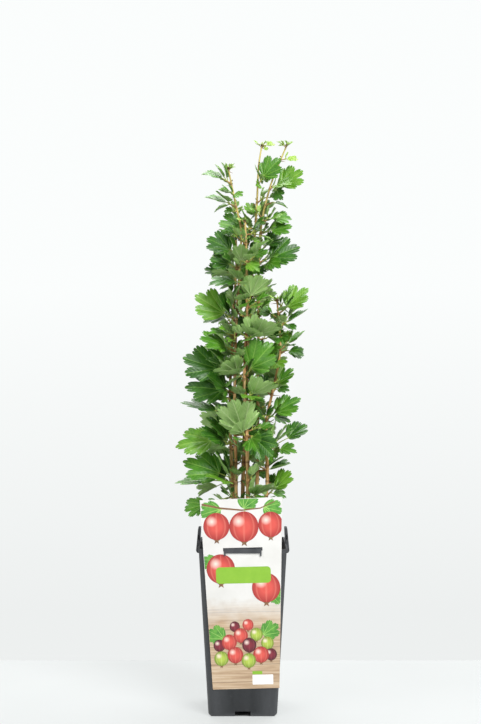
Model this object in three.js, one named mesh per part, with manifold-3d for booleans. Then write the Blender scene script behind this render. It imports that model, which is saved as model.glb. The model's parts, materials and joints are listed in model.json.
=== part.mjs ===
// A young gooseberry bush in a deep square nursery pot: six thin upright stems from one woody crown,
// short leafy side shoots all the way up them, potting compost, and a card label hung on the pot.
//
// Millimetres, +Z up. The origin is the middle of the pot's flat underside, and the label faces -Y.
// Bearings are degrees round +Z: 0 is +X (right), 90 +Y (back), 180 -X (left), 270 -Y (front).

import * as THREE from "three";
import { mergeVertices } from "three/addons/utils/BufferGeometryUtils.js";
import Module from "manifold-3d";

const wasm = await Module();
wasm.setup();

// ---- Driving dimensions ----------------------------------------------------------------------

const CLEAR = 0.3; // the gap between neighbours that touch
const FINEST = 0.1; // detail smaller than this is closed up

const POT = {
  height: 205, // foot to rim
  footHalf: 42, // half the width across the foot
  rimHalf: 53.6, // half the width across the rim, without its bead
  wall: 1.4,
  corner: 9.5, // radius of the upright corners
  cornerSteps: 5,
  footRound: 2.2, // rounding of the foot's edge
  floor: [6, 7.8], // the raised floor's underside and top
  pad: 11, // half width of the middle foot under the floor
  notch: { width: 19, height: 6.5 }, // drain notch in the middle of each side's foot
  drain: { radius: 4.5, offset: 23 }, // drain holes through the floor
  bead: { depth: 1.1, height: 4.5 }, // the rim's thickened edge
};

// The clip on the middle of the front rim. Its depths are measured outwards from the rim's bead.
const TAB = {
  half: 22.5, // half the width of its plate
  top: 224.6,
  lean: 1.2, // how far the plate's top leans in
  plate: 1.5,
  rib: { width: 1.8, topDepth: 1.7, depth: 2.2, footDepth: 1.1, low: 192.6 }, // the upright ribs at its ends
  eye: { low: 208.4, high: 215.6, from: -0.7, to: 1.3, corner: 0.5 }, // the oval eye in each rib
  shelf: { low: 204.8, high: 207 },
  lip: { depth: 1.1, low: 201.2 },
  reach: 4.5, // to the lip's outer face
  hook: { low: 198 },
};

// The clips of the other sides, which carry no label. The back one is as wide as the front one.
const SIDE_TAB = {
  half: 9,
  rib: 3.2, // the width of each end's wedge
  low: 193.6,
  topReach: 0.8, // how far a wedge stands out of the bead at its top and at its foot
  footReach: 3.3,
  eye: { low: 209.7, high: 216.7, from: -1.4, to: 0.8, corner: 0.9, depth: 2.6 },
  bar: { low: 201.2, high: 207, reach: 2.3 },
};

const LABEL = {
  corners: [
    [-40.4, 0],
    [40.4, 0],
    [48.9, 234],
    [-50.1, 232.2],
  ],
  thick: 0.5,
  footZ: 35,
  footY: -45.1,
  tilt: 4.2, // degrees that the card leans out from upright
  turn: 1.4, // degrees that it hangs askew
  slotUp: 171.36, // from the card's foot to the middle of its slot
  slot: { half: 23.6, halfHeight: 2.05 },
};

const COMPOST = { top: 190 };

const CROWN = { footRadius: 15, waistRadius: 12.6, topRadius: 11.6, top: 202, sides: 12 };

const STEM = {
  sides: 6,
  step: 22, // between rings
  ring: 7.8, // radius of the circle on the crown that the stems stand in
};

// Each stem: its place on the crown's circle, its radii at foot and tip, and the points it passes
// through above the crown, as [x, y, z].
const STEMS = {
  left: {
    place: 210,
    foot: 2.3,
    tip: 1.0,
    way: [
      [-8, -5, 262],
      [-10, -8, 410],
      [-7, -8, 500],
      [-2, -8, 592],
      [-9, -9, 628],
      [-18, -10, 671],
    ],
  },
  middle: {
    place: 270,
    foot: 2.6,
    tip: 1.2,
    way: [
      [6, -19, 262],
      [5, -23, 335],
      [2, -22, 410],
      [5, -21, 480],
      [5, -19, 545],
      [3, -17, 606],
    ],
  },
  right: {
    place: 330,
    foot: 2.5,
    tip: 1.1,
    way: [
      [29, 0, 262],
      [30, 2, 355],
      [42, 2, 415],
      [47, 1, 450],
      [43, 0, 508],
    ],
  },
  upper: {
    place: 30,
    foot: 2.6,
    tip: 0.9,
    way: [
      [17, 11, 262],
      [19, 12, 384],
      [20, 10, 484],
      [22, 6, 590],
      [34, 3, 649],
      [55, 0, 702],
    ],
  },
  leader: {
    place: 90,
    foot: 2.8,
    tip: 0.9,
    way: [
      [0, 16, 262],
      [4, 18, 384],
      [10, 12, 508],
      [18, 6, 634],
      [20, 4, 676],
      [24, 3, 703],
    ],
  },
  back: {
    place: 150,
    foot: 2.5,
    tip: 1.1,
    way: [
      [-12, 13, 262],
      [-16, 24, 384],
      [-12, 28, 480],
      [-8, 24, 560],
      [-10, 22, 622],
    ],
  },
};

// The leafy side shoots. Each row is one mass: the stem it grows on, the height of its root, its bearing
// and rise in degrees, how far it reaches, the length of its largest leaf, the roll of that leaf's upper
// face from the sky towards the outside (below 0 shows the pale underside), and its number of leaves.
const SHOOTS = [
  ["left_a", "left", 262, 186, -16, 68, 27, 40, 2],
  ["left_b", "left", 284, 188, 23, 66, 46, 64, 4],
  ["left_c", "left", 280, 180, 12, 74, 46, 14, 3],
  ["left_d", "left", 328, 182, 10, 71, 42, 42, 7],
  ["left_e", "left", 366, 182, 9, 67, 43, 18, 5],
  ["left_f", "left", 394, 190, 7, 59, 44, 64, 4],
  ["left_g", "left", 416, 180, 18, 66, 44, 62, 5],
  ["left_h", "left", 443, 206, 27, 43, 35, 48, 5],
  ["left_i", "left", 464, 200, 8, 30, 22, 30, 5],
  ["left_j", "left", 482, 184, 32, 60, 44, 62, 7],
  ["left_k", "middle", 528, 194, 8, 45, 34, 28, 5],
  ["left_l", "left", 548, 196, 16, 34, 27, 56, 5],
  ["left_m", "left", 564, 188, 24, 40, 33, 56, 5],
  ["left_n", "leader", 598, 192, 4, 46, 36, 60, 7],
  ["left_o", "left", 624, 182, 22, 35, 27, 22, 3],
  ["left_p", "left", 652, 176, 32, 34, 25, 22, 4],
  ["right_a", "right", 263, 6, 42, 44, 29, 44, 5],
  ["right_b", "upper", 294, 342, 6, 45, 34, 16, 5],
  ["right_c", "right", 320, 4, 30, 62, 30, 40, 5],
  ["right_d", "right", 359, 354, 38, 42, 34, 60, 7],
  ["right_e", "right", 391, 4, 58, 35, 26, 48, 5],
  ["right_f", "right", 446, 4, 38, 35, 24, 10, 4],
  ["right_g", "right", 491, 4, 36, 43, 35, 56, 5],
  ["right_h", "right", 474, 352, 38, 38, 27, 14, 7],
  ["right_i", "upper", 556, 2, 20, 54, 37, 62, 5],
  ["right_j", "upper", 570, 10, 36, 31, 23, 50, 4],
  ["right_k", "upper", 592, 350, 14, 34, 27, 56, 7],
  ["right_l", "upper", 607, 356, 14, 38, 24, 44, 5],
  ["right_m", "upper", 648, 356, 22, 47, 32, 62, 7],
  ["right_n", "upper", 684, 350, 2, 19, 14, 40, 4],
  ["front_a", "middle", 258, 318, 40, 44, 33, -12, 4],
  ["front_b", "middle", 340, 314, -30, 42, 32, 52, 5],
  ["front_c", "middle", 333, 230, 60, 61, 48, -36, 4],
  ["front_d", "middle", 386, 318, 24, 50, 37, -24, 7],
  ["front_e", "middle", 412, 324, 48, 55, 43, 94, 5],
  ["front_f", "middle", 410, 222, 34, 48, 37, -34, 5],
  ["front_g", "middle", 458, 324, 22, 52, 37, -26, 7],
  ["front_h", "middle", 500, 308, 58, 46, 34, -28, 5],
  ["front_i", "left", 536, 282, 62, 48, 31, -26, 5],
  ["lead_a", "leader", 652, 328, 54, 38, 28, 92, 7],
  ["lead_tip", "leader", 701, 20, 16, 17, 11, 40, 5],
  ["back_a", "back", 276, 120, 14, 62, 42, 56, 7],
  ["back_b", "leader", 304, 62, 20, 60, 42, 56, 7],
  ["back_c", "back", 344, 126, 24, 52, 42, 56, 7],
  ["back_d", "leader", 376, 84, 20, 52, 42, 56, 7],
  ["back_e", "upper", 424, 46, 24, 58, 42, 56, 7],
  ["back_f", "back", 440, 116, 24, 50, 42, 56, 7],
  ["back_g", "leader", 508, 62, 26, 52, 40, 56, 7],
  ["back_h", "back", 548, 118, 26, 46, 38, 56, 7],
  ["back_i", "leader", 610, 84, 34, 46, 32, 56, 7],
];

const SHOOT = {
  radius: 1.5, // of the woody spur at its foot
  tipRadius: 1.1,
  length: 8,
  sides: 4,
};

// How the leaves of a shoot fan out: turn and rise from the shoot's own heading, in degrees, the share of
// the shoot's reach, the share of its largest leaf, and the share of that leaf's roll.
const FAN = [
  { turn: 0, rise: 0, reach: 1, size: 1, roll: 1 },
  { turn: 52, rise: 12, reach: 0.76, size: 0.86, roll: 0.9 },
  { turn: -54, rise: 2, reach: 0.76, size: 0.84, roll: 0.7 },
  { turn: 14, rise: 46, reach: 0.7, size: 0.78, roll: 1 },
  { turn: -28, rise: -34, reach: 0.64, size: 0.66, roll: 0.8 },
  { turn: 98, rise: 20, reach: 0.58, size: 0.62, roll: 1 },
  { turn: -96, rise: 36, reach: 0.58, size: 0.6, roll: 1 },
];

const STALK = { radius: 0.75, startRadius: 0.68, least: 5 };

const BLADE = {
  droop: 0.16, // how far the tip hangs, as a share of the leaf's length
  fold: 0.24, // how far the sides stand up
};

// Half of a leaf's outline, from its tip to its foot, as [along, across] in shares of its length.
const HALF_OUTLINE = [
  [0.87, 0.16],
  [0.69, 0.16],
  [0.78, 0.38],
  [0.58, 0.48],
  [0.41, 0.38],
  [0.3, 0.45],
  [0.06, 0.28],
];

const SPACE = {
  between: 3.3, // between the leaves of two shoots
  within: 2.5, // between the leaves of one shoot
  stem: 2, // between a leaf and a stem's bark
  tries: 30,
  wide: 84, // the crown's half width, past which no leaf goes
  lowest: 231, // over the pot's clip plates
  highest: 709,
  card: { top: 272, half: 54, y: -52 }, // the room that is kept for the label
};

const COLOURS = {
  pot: 0x3b3d3f,
  card: 0xeceae4,
  compost: 0x3a2a1e,
  bark: 0x8d6a45,
  leaf: 0x3f7a2c,
  young: 0xa9cc4a,
};

// ---- Small tools -----------------------------------------------------------------------------

const rad = THREE.MathUtils.degToRad;
const vec = (x, y, z) => new THREE.Vector3(x, y, z);

/** The unit vector at a bearing and a rise, both in degrees. */
function heading(bearing, rise) {
  const b = rad(bearing);
  const r = rad(rise);
  return vec(Math.cos(b) * Math.cos(r), Math.sin(b) * Math.cos(r), Math.sin(r));
}

/** A repeatable stream of numbers from 0 to 1. */
class Dice {
  constructor(seed) {
    this.state = (Math.imul(seed, 2654435) + 97531) >>> 0;
    for (let i = 0; i < 4; i++) this.next();
  }

  next() {
    this.state = (Math.imul(this.state, 1664525) + 1013904223) >>> 0;
    return this.state / 4294967296;
  }

  between(low, high) {
    return low + (high - low) * this.next();
  }
}

/** A manifold-3d solid from points and triangles. */
function solid(points, triangles) {
  const vertProperties = new Float32Array(points.flatMap((p) => [p.x, p.y, p.z]));
  const triVerts = new Uint32Array(triangles.flat());
  return new wasm.Manifold(new wasm.Mesh({ numProp: 3, vertProperties, triVerts }));
}

/** Whether every edge of a mesh joins exactly two triangles. */
function isClosed(triangles) {
  const edges = new Set();
  for (const [a, b, c] of triangles)
    for (const edge of [`${a} ${b}`, `${b} ${c}`, `${c} ${a}`]) {
      if (edges.has(edge)) return false;
      edges.add(edge);
    }
  return [...edges].every((edge) => edges.has(edge.split(" ").reverse().join(" ")));
}

/** A solid whose points that lie within a hair of each other are made one, wherever that keeps it closed. */
function welded(made) {
  for (const hair of [1, 0.75, 0.5, 0.3, 0.15].map((share) => share * FINEST)) {
    const merged = mergeVertices(geometryOf(made), hair);
    const index = Array.from(merged.index.array);
    const position = merged.getAttribute("position");
    const points = Array.from({ length: position.count }, (_, i) => vec().fromBufferAttribute(position, i));
    const triangles = [];
    for (let i = 0; i < index.length; i += 3) {
      const [a, b, c] = index.slice(i, i + 3);
      if (a !== b && b !== c && c !== a) triangles.push([a, b, c]);
    }
    if (isClosed(triangles)) return solid(points, triangles);
  }
  return made;
}

/** A closed solid through rings of points that run counter-clockwise as seen from its end. */
function loft(rings) {
  const n = rings[0].length;
  const triangles = [];
  for (let i = 0; i + 1 < rings.length; i++)
    for (let j = 0; j < n; j++) {
      const k = (j + 1) % n;
      triangles.push([i * n + j, i * n + k, (i + 1) * n + k], [i * n + j, (i + 1) * n + k, (i + 1) * n + j]);
    }
  const last = (rings.length - 1) * n;
  for (let j = 1; j + 1 < n; j++) triangles.push([0, j + 1, j], [last, last + j, last + j + 1]);
  return solid(rings.flat(), triangles);
}

/** A ring of points round a centre, square to a direction. */
function ringRound(centre, direction, radius, sides) {
  const aside = Math.abs(direction.z) > 0.9 ? vec(0, 1, 0) : vec(0, 0, 1);
  const u = aside.clone().cross(direction).normalize();
  const v = direction.clone().normalize().cross(u);
  return Array.from({ length: sides }, (_, j) => {
    const a = (2 * Math.PI * j) / sides;
    return centre.clone().addScaledVector(u, radius * Math.cos(a)).addScaledVector(v, radius * Math.sin(a));
  });
}

/** A level rounded square, counter-clockwise from above. */
function roundedSquare(half, corner, z, steps) {
  const points = [];
  for (let side = 0; side < 4; side++)
    for (let i = 0; i <= steps; i++) {
      const a = (Math.PI / 2) * (side + i / steps);
      const cx = (half - corner) * (side === 0 || side === 3 ? 1 : -1);
      const cy = (half - corner) * (side < 2 ? 1 : -1);
      points.push(vec(cx + corner * Math.cos(a), cy + corner * Math.sin(a), z));
    }
  return points;
}

/** A box between two corners, as a solid. */
function block(low, high) {
  const ring = (z) => [
    vec(low[0], low[1], z),
    vec(high[0], low[1], z),
    vec(high[0], high[1], z),
    vec(low[0], high[1], z),
  ];
  return loft([ring(low[2]), ring(high[2])]);
}

/** An extruded outline in the y-z plane, from x = low to x = high. */
function profile(outline, low, high) {
  return loft([low, high].map((x) => outline.map(([y, z]) => vec(x, y, z))));
}

/** A solid as a three.js geometry. */
function geometryOf(made) {
  const mesh = made.getMesh();
  return new THREE.BufferGeometry()
    .setAttribute("position", new THREE.BufferAttribute(new Float32Array(mesh.vertProperties), 3))
    .setIndex(new THREE.BufferAttribute(new Uint32Array(mesh.triVerts), 1));
}

const root = new THREE.Group();

/** Adds a solid to the model as one named mesh. */
function add(name, made, colour, roughness = 0.7) {
  const geometry = geometryOf(made);
  geometry.computeVertexNormals();
  const paint = new THREE.MeshStandardMaterial({ color: colour, roughness, metalness: 0 });
  const mesh = new THREE.Mesh(geometry, paint);
  mesh.name = name;
  root.add(mesh);
}

// ---- The pot ---------------------------------------------------------------------------------

/** Half the pot's outer width at a height, without the rim's bead. */
const potHalf = (z) => POT.footHalf + ((POT.rimHalf - POT.footHalf) * z) / POT.height;

function potRing(z, inset) {
  return roundedSquare(potHalf(z) - inset, Math.max(POT.corner - inset, 1), z, POT.cornerSteps);
}

const BEAD = -POT.rimHalf - POT.bead.depth; // the front of the rim's bead
const BEAD_FOOT = POT.height - POT.bead.height;

/** A clip's upright plate, leaning in at the top. */
function tabPlate(within) {
  const { top, lean, plate } = TAB;
  const upright = [
    [BEAD, BEAD_FOOT],
    [BEAD + plate, BEAD_FOOT],
    [BEAD + plate + lean, top],
    [BEAD + lean, top],
  ];
  return profile(upright, -within, within);
}

/** A rib's outline from its foot up the inside of the plate and over its top: outer is its outer edge. */
function ribOutline(low, footOuter, outer) {
  const { top, lean, plate } = TAB;
  return [
    [footOuter, low],
    [-POT.rimHalf + 0.8, low],
    [-POT.rimHalf + 0.8, BEAD_FOOT],
    [BEAD + plate, BEAD_FOOT],
    [BEAD + plate + lean, top],
    ...outer,
  ];
}

/** The oval eye of a rib. */
function eyeOutline({ low, high, from, to, corner }) {
  return [
    [BEAD - to, low + corner],
    [BEAD - to + corner, low],
    [BEAD - from - corner, low],
    [BEAD - from, low + corner],
    [BEAD - from, high - corner],
    [BEAD - from - corner, high],
    [BEAD - to + corner, high],
    [BEAD - to, high - corner],
  ];
}

/** The clip on the front rim: a plate with an eyed rib at each end, and a shelf with a hooked lip below. */
function frontTab() {
  const { half, top, lean, rib, eye, shelf, lip, hook } = TAB;
  const lipY = BEAD - TAB.reach;
  const within = half - rib.width / 2;
  const web = ribOutline(rib.low, BEAD - rib.footDepth + 0.6, [
    [BEAD + lean - rib.topDepth - 1, top],
    [BEAD - rib.depth, shelf.high + 1],
    [BEAD - rib.footDepth - 0.4, rib.low + 4],
    [BEAD - rib.footDepth, rib.low + 1.6],
  ]);
  let tab = tabPlate(within);
  for (const side of [-1, 1]) {
    const ends = [side * half, side * (half - rib.width)].sort((a, b) => a - b);
    tab = tab.add(profile(web, ...ends).subtract(profile(eyeOutline(eye), ends[0] - 1, ends[1] + 1)));
    tab = tab.add(block([ends[0], lipY, hook.low], [ends[1], lipY + lip.depth, shelf.high]));
  }
  return tab
    .add(block([-half, lipY, shelf.low], [half, BEAD + 0.5, shelf.high]))
    .add(block([-within, lipY, lip.low], [within, lipY + lip.depth, shelf.high]));
}

/** A clip on another side: the plate and a bar between two solid wedges, each with a blind eye outside. */
function sideTab(half) {
  const { rib, low, topReach, footReach, eye, bar } = SIDE_TAB;
  const { top } = TAB;
  const within = half - rib / 2;
  const wedge = ribOutline(low, BEAD - footReach + 2.2, [
    [BEAD - topReach + 0.6, top],
    [BEAD - topReach, top - 0.8],
    [BEAD - footReach, low + 3.4],
    [BEAD - footReach + 0.7, low + 1.1],
  ]);
  let tab = tabPlate(within).add(block([-within, BEAD - bar.reach, bar.low], [within, BEAD + 0.5, bar.high]));
  for (const side of [-1, 1]) {
    const ends = [side * half, side * (half - rib)].sort((a, b) => a - b);
    const pocket = [side * (half + 1), side * (half - eye.depth)].sort((a, b) => a - b);
    tab = tab.add(profile(wedge, ...ends).subtract(profile(eyeOutline(eye), ...pocket)));
  }
  return tab;
}

function pot() {
  const { height, wall, floor, footRound, bead, notch, drain } = POT;
  const rimFoot = height - bead.height;
  const out = -bead.depth;
  let shell = loft([
    potRing(0, footRound),
    potRing(footRound * 0.35, footRound * 0.35),
    potRing(footRound, 0),
    potRing(height, 0),
  ]);
  shell = shell.add(loft([potRing(rimFoot + out, 0), potRing(rimFoot, out), potRing(height, out)]));
  shell = shell.subtract(loft([potRing(floor[1], wall), potRing(height + 1, wall)]));
  const under = loft([potRing(-1, wall + footRound), potRing(floor[0], wall + 0.6)]);
  shell = shell.subtract(under.subtract(block([-POT.pad, -POT.pad, -2], [POT.pad, POT.pad, floor[0] + 1])));
  const face = -potHalf(0);
  const cut = block([-notch.width / 2, face - 5, -1], [notch.width / 2, face + 6, notch.height]);
  const tabs = [frontTab(), sideTab(SIDE_TAB.half), sideTab(TAB.half), sideTab(SIDE_TAB.half)];
  for (let side = 0; side < 4; side++) {
    shell = shell.subtract(cut.rotate([0, 0, 90 * side])).add(tabs[side].rotate([0, 0, 90 * side]));
    const a = rad(45 + 90 * side);
    const hole = vec(Math.cos(a), Math.sin(a), 0).multiplyScalar(drain.offset * Math.SQRT2);
    const levels = [floor[0] - 1, floor[1] + 1];
    const rings = levels.map((z) => ringRound(hole.clone().setZ(z), vec(0, 0, 1), drain.radius, 10));
    shell = shell.subtract(loft(rings));
  }
  return welded(shell);
}

// ---- The label -------------------------------------------------------------------------------

/** The card, drawn flat with its foot's middle at the origin, then leant and turned into place. */
function label() {
  const { corners, thick, slotUp, slot } = LABEL;
  const shape = new THREE.Shape(corners.map(([x, y]) => new THREE.Vector2(x, y)));
  shape.holes.push(
    new THREE.Path([
      new THREE.Vector2(-slot.half, slotUp - slot.halfHeight),
      new THREE.Vector2(-slot.half, slotUp + slot.halfHeight),
      new THREE.Vector2(slot.half, slotUp + slot.halfHeight),
      new THREE.Vector2(slot.half, slotUp - slot.halfHeight),
    ]),
  );
  const flat = new THREE.ExtrudeGeometry(shape, { depth: thick, bevelEnabled: false });
  // Turned about the slot's middle, stood up to face -Y, then leant out at the top.
  const place = new THREE.Matrix4()
    .makeTranslation(0, LABEL.footY, LABEL.footZ)
    .multiply(new THREE.Matrix4().makeRotationX(Math.PI / 2 + rad(LABEL.tilt)))
    .multiply(new THREE.Matrix4().makeTranslation(0, slotUp, 0))
    .multiply(new THREE.Matrix4().makeRotationZ(rad(LABEL.turn)))
    .multiply(new THREE.Matrix4().makeTranslation(0, -slotUp, 0));
  flat.applyMatrix4(place);
  return flat;
}

// ---- Compost, crown and stems ----------------------------------------------------------------

function compost() {
  const inset = POT.wall + CLEAR;
  return loft([potRing(POT.floor[1] + CLEAR, inset), potRing(COMPOST.top, inset)]);
}

function crown() {
  const { footRadius, waistRadius, topRadius, top, sides } = CROWN;
  const foot = COMPOST.top + CLEAR;
  const level = (z, radius) => ringRound(vec(0, 0, z), vec(0, 0, 1), radius, sides);
  return loft([level(foot, footRadius), level(foot + 4, waistRadius), level(top, topRadius)]);
}

/** A stem's waypoints from its foot on the crown to its tip. */
function wayOf(stem) {
  const a = rad(stem.place);
  return [[STEM.ring * Math.cos(a), STEM.ring * Math.sin(a), CROWN.top + CLEAR], ...stem.way];
}

/** The middle of a stem at a height: cubic steps between its waypoints, level with their neighbours. */
function stemAt(stem, z) {
  const way = wayOf(stem);
  let i = 0;
  while (i < way.length - 2 && z > way[i + 1][2]) i++;
  const [a, b] = [way[i], way[i + 1]];
  const before = way[Math.max(i - 1, 0)];
  const after = way[Math.min(i + 2, way.length - 1)];
  const span = b[2] - a[2];
  const t = (z - a[2]) / span;
  const along = (axis) => {
    const slopeA = ((b[axis] - before[axis]) / (b[2] - before[2])) * span;
    const slopeB = ((after[axis] - a[axis]) / (after[2] - a[2])) * span;
    const t2 = t * t;
    const t3 = t2 * t;
    return (
      (2 * t3 - 3 * t2 + 1) * a[axis] +
      (t3 - 2 * t2 + t) * slopeA +
      (3 * t2 - 2 * t3) * b[axis] +
      (t3 - t2) * slopeB
    );
  };
  return vec(along(0), along(1), z);
}

const stemTop = (stem) => stem.way[stem.way.length - 1][2];

/** A stem's radius at a height. */
function stemRadius(stem, z) {
  const low = CROWN.top + CLEAR;
  const u = THREE.MathUtils.clamp((z - low) / (stemTop(stem) - low), 0, 1);
  return stem.tip + (stem.foot - stem.tip) * (1 - u) ** 0.85;
}

/** A stem as a tapering limb with a level foot. */
function stemSolid(stem) {
  const low = CROWN.top + CLEAR;
  const high = stemTop(stem);
  const steps = Math.ceil((high - low) / STEM.step);
  const rings = [];
  for (let i = 0; i <= steps; i++) {
    const z = low + ((high - low) * i) / steps;
    rings.push(ringRound(stemAt(stem, z), vec(0, 0, 1), stemRadius(stem, z), STEM.sides));
  }
  return loft(rings);
}

// ---- Leaves ----------------------------------------------------------------------------------

/** A leaf's outline as [along, across] in shares of its length, counter-clockwise from its tip. */
const OUTLINE = [[1, 0], ...HALF_OUTLINE, ...HALF_OUTLINE.map(([u, v]) => [u, -v]).reverse()];

/** A point of a leaf's blade. */
function bladePoint(leaf, u, v) {
  const lift = leaf.fold * Math.abs(v) - leaf.droop * u * Math.abs(u);
  return leaf.foot
    .clone()
    .addScaledVector(leaf.along, u * leaf.length)
    .addScaledVector(leaf.across, v * leaf.length)
    .addScaledVector(leaf.up, lift * leaf.length);
}

/** The points that stand for a leaf's blade and its stalk where their space is tested. */
function leafSamples(leaf) {
  const blade = [leaf.foot];
  OUTLINE.forEach(([u, v], i) => {
    const [nextU, nextV] = OUTLINE[(i + 1) % OUTLINE.length];
    for (const share of [0.32, 0.52, 0.7, 0.86, 1])
      for (const step of [0, 1 / 3, 2 / 3])
        blade.push(bladePoint(leaf, (u + (nextU - u) * step) * share, (v + (nextV - v) * step) * share));
  });
  const steps = Math.max(1, Math.round(leaf.start.distanceTo(leaf.foot) / 3));
  const stalk = Array.from({ length: steps }, (_, i) => leaf.start.clone().lerp(leaf.foot, i / steps));
  return { blade, stalk };
}

/** One leaf of a shoot: where its stalk starts and ends, and how its blade lies. */
function leafOf(shoot, order, attempt) {
  const dice = new Dice(shoot.seed * 97 + order * 13 + attempt * 1009);
  const fan = FAN[order];
  const loose = order === 0 ? 2 + 0.8 * attempt : 10 + 1.5 * attempt;
  const bearing = shoot.bearing + fan.turn + dice.between(-loose, loose);
  const rise = THREE.MathUtils.clamp(shoot.rise + fan.rise + dice.between(-loose, loose), -60, 84);
  const length = shoot.leaf * fan.size * dice.between(0.94, 1.03) * (1 - 0.012 * attempt);
  const root = shoot.stemRadius + CLEAR;
  const spur = SHOOT.length * shoot.scale * (1 - 0.13 * order);
  const start = shoot.foot.clone().addScaledVector(shoot.out, root + spur);
  const spare = shoot.reach * fan.reach - start.distanceTo(shoot.foot) - length;
  const stalk = Math.max(STALK.least * shoot.scale, spare);
  const foot = start.clone().addScaledVector(heading(bearing, rise), stalk);
  const along = heading(bearing + dice.between(-8, 8), rise + dice.between(-6, 12));
  // The upper face starts towards the sky and rolls towards the outside of the bush.
  const level = vec(0, 0, 1).cross(along).normalize();
  const sky = along.clone().cross(level);
  const outside = Math.sin(rad(bearing)) > 0.35 ? 1 : -1;
  const side = Math.sign(level.y * outside) || 1;
  const roll = rad(shoot.roll * fan.roll + dice.between(-9, 9)) * side;
  const up = sky.multiplyScalar(Math.cos(roll)).addScaledVector(level, Math.sin(roll));
  const across = up.clone().cross(along);
  return {
    start,
    foot,
    along,
    up,
    across,
    length,
    droop: BLADE.droop * dice.between(0.2, 1.8),
    fold: BLADE.fold * dice.between(0.2, 1.6),
  };
}

/**
 * A leaf in one piece with its stalk. The stalk's end is a square of points round the foot of the blade,
 * which is a fan of triangles from that square to the leaf's edge, above and below.
 */
function leafSolid(leaf, scale) {
  const square = (centre, radius) => [
    centre.clone().addScaledVector(leaf.across, radius),
    centre.clone().addScaledVector(leaf.up, radius),
    centre.clone().addScaledVector(leaf.across, -radius),
    centre.clone().addScaledVector(leaf.up, -radius),
  ];
  const n = OUTLINE.length;
  const points = OUTLINE.map(([u, v]) => bladePoint(leaf, u, v));
  points.push(...square(leaf.foot, STALK.radius * scale), ...square(leaf.start, STALK.startRadius * scale));
  const [left, over, right, under] = [n, n + 1, n + 2, n + 3];
  // Round the edge from the right of the stalk, by the tip, to its left.
  const edge = [right];
  for (let i = 0; i < n; i++) edge.push((i + (n + 1) / 2) % n);
  edge.push(left);
  const triangles = [];
  for (let i = 0; i + 1 < edge.length; i++)
    triangles.push([edge[i], edge[i + 1], over], [edge[i + 1], edge[i], under]);
  for (const [a, b] of [
    [over, left],
    [left, under],
    [under, right],
    [right, over],
  ])
    triangles.push([a, b, b + 4], [a, b + 4, a + 4]);
  triangles.push([over + 4, left + 4, under + 4], [over + 4, under + 4, right + 4]);
  return solid(points, triangles);
}

// ---- Where the leaves go ---------------------------------------------------------------------

const stemLine = Object.values(STEMS).flatMap((stem) => {
  const points = [];
  for (let z = CROWN.top; z < stemTop(stem); z += 5) {
    points.push({ at: stemAt(stem, z), radius: stemRadius(stem, z) });
  }
  return points;
});

/** Whether a leaf stays in the crown's space and clear of the pot, the label and the stems. */
function inOpenSpace({ blade, stalk }, shoot) {
  const { card } = SPACE;
  const clearOfStems = (p, gap) =>
    stemLine.every(({ at, radius }) => Math.abs(at.z - p.z) > 8 || p.distanceTo(at) > radius + gap);
  return (
    blade.every((p) => {
      if (Math.hypot(p.x, p.y) > SPACE.wide || p.z < SPACE.lowest || p.z > SPACE.highest) return false;
      if (p.z < card.top && Math.abs(p.x) < card.half && p.y < card.y) return false;
      return clearOfStems(p, SPACE.stem);
    }) && stalk.every((p) => p.distanceTo(shoot.foot) < 9 || clearOfStems(p, SPACE.stem))
  );
}

/** The points of every placed leaf, kept by the cube of space that each lies in. */
class Crowd {
  constructor(size) {
    this.size = size;
    this.cubes = new Map();
  }

  key(i, j, k) {
    return (i + 512) * 1048576 + (j + 512) * 1024 + k;
  }

  place(p) {
    return [p.x, p.y, p.z].map((value) => Math.floor(value / this.size));
  }

  add(points, shoot) {
    for (const p of points) {
      const key = this.key(...this.place(p));
      if (!this.cubes.has(key)) this.cubes.set(key, []);
      this.cubes.get(key).push({ p, shoot });
    }
  }

  /** Whether a point keeps its distance from all the others. */
  clear(p, shoot) {
    const [i, j, k] = this.place(p);
    for (let a = i - 1; a <= i + 1; a++)
      for (let b = j - 1; b <= j + 1; b++)
        for (let c = k - 1; c <= k + 1; c++)
          for (const other of this.cubes.get(this.key(a, b, c)) ?? []) {
            const gap = other.shoot === shoot ? SPACE.within : SPACE.between;
            if (p.distanceToSquared(other.p) < gap * gap) return false;
          }
    return true;
  }
}

const shoots = SHOOTS.map(([name, stemName, height, bearing, rise, reach, leaf, roll, leaves], i) => {
  const stem = STEMS[stemName];
  const rootHeight = Math.min(height, stemTop(stem) - 0.5);
  return {
    name,
    bearing,
    rise,
    reach,
    leaf,
    roll,
    leaves,
    seed: i + 1,
    scale: THREE.MathUtils.clamp(reach / 34, 0.35, 1),
    foot: stemAt(stem, rootHeight),
    stemRadius: stemRadius(stem, rootHeight),
    lean: stemAt(stem, rootHeight).sub(stemAt(stem, rootHeight - 1)),
    out: heading(bearing, THREE.MathUtils.clamp(rise, 0, 60)),
    placed: [],
  };
});

/** Gives each shoot its leaves, the foremost of every shoot first. A leaf with no room is skipped. */
function placeLeaves() {
  const crowd = new Crowd(SPACE.between);
  for (let order = 0; order < FAN.length; order++)
    for (const shoot of shoots) {
      if (order >= shoot.leaves) continue;
      for (let attempt = 0; attempt < SPACE.tries; attempt++) {
        const leaf = leafOf(shoot, order, attempt);
        const samples = leafSamples(leaf);
        if (!inOpenSpace(samples, shoot)) continue;
        const free = samples.stalk.filter((p) => p.distanceTo(shoot.foot) > 14);
        if (![...samples.blade, ...free].every((p) => crowd.clear(p, shoot))) continue;
        crowd.add([...samples.blade, ...samples.stalk], shoot);
        shoot.placed.push(leaf);
        break;
      }
    }
}

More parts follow.
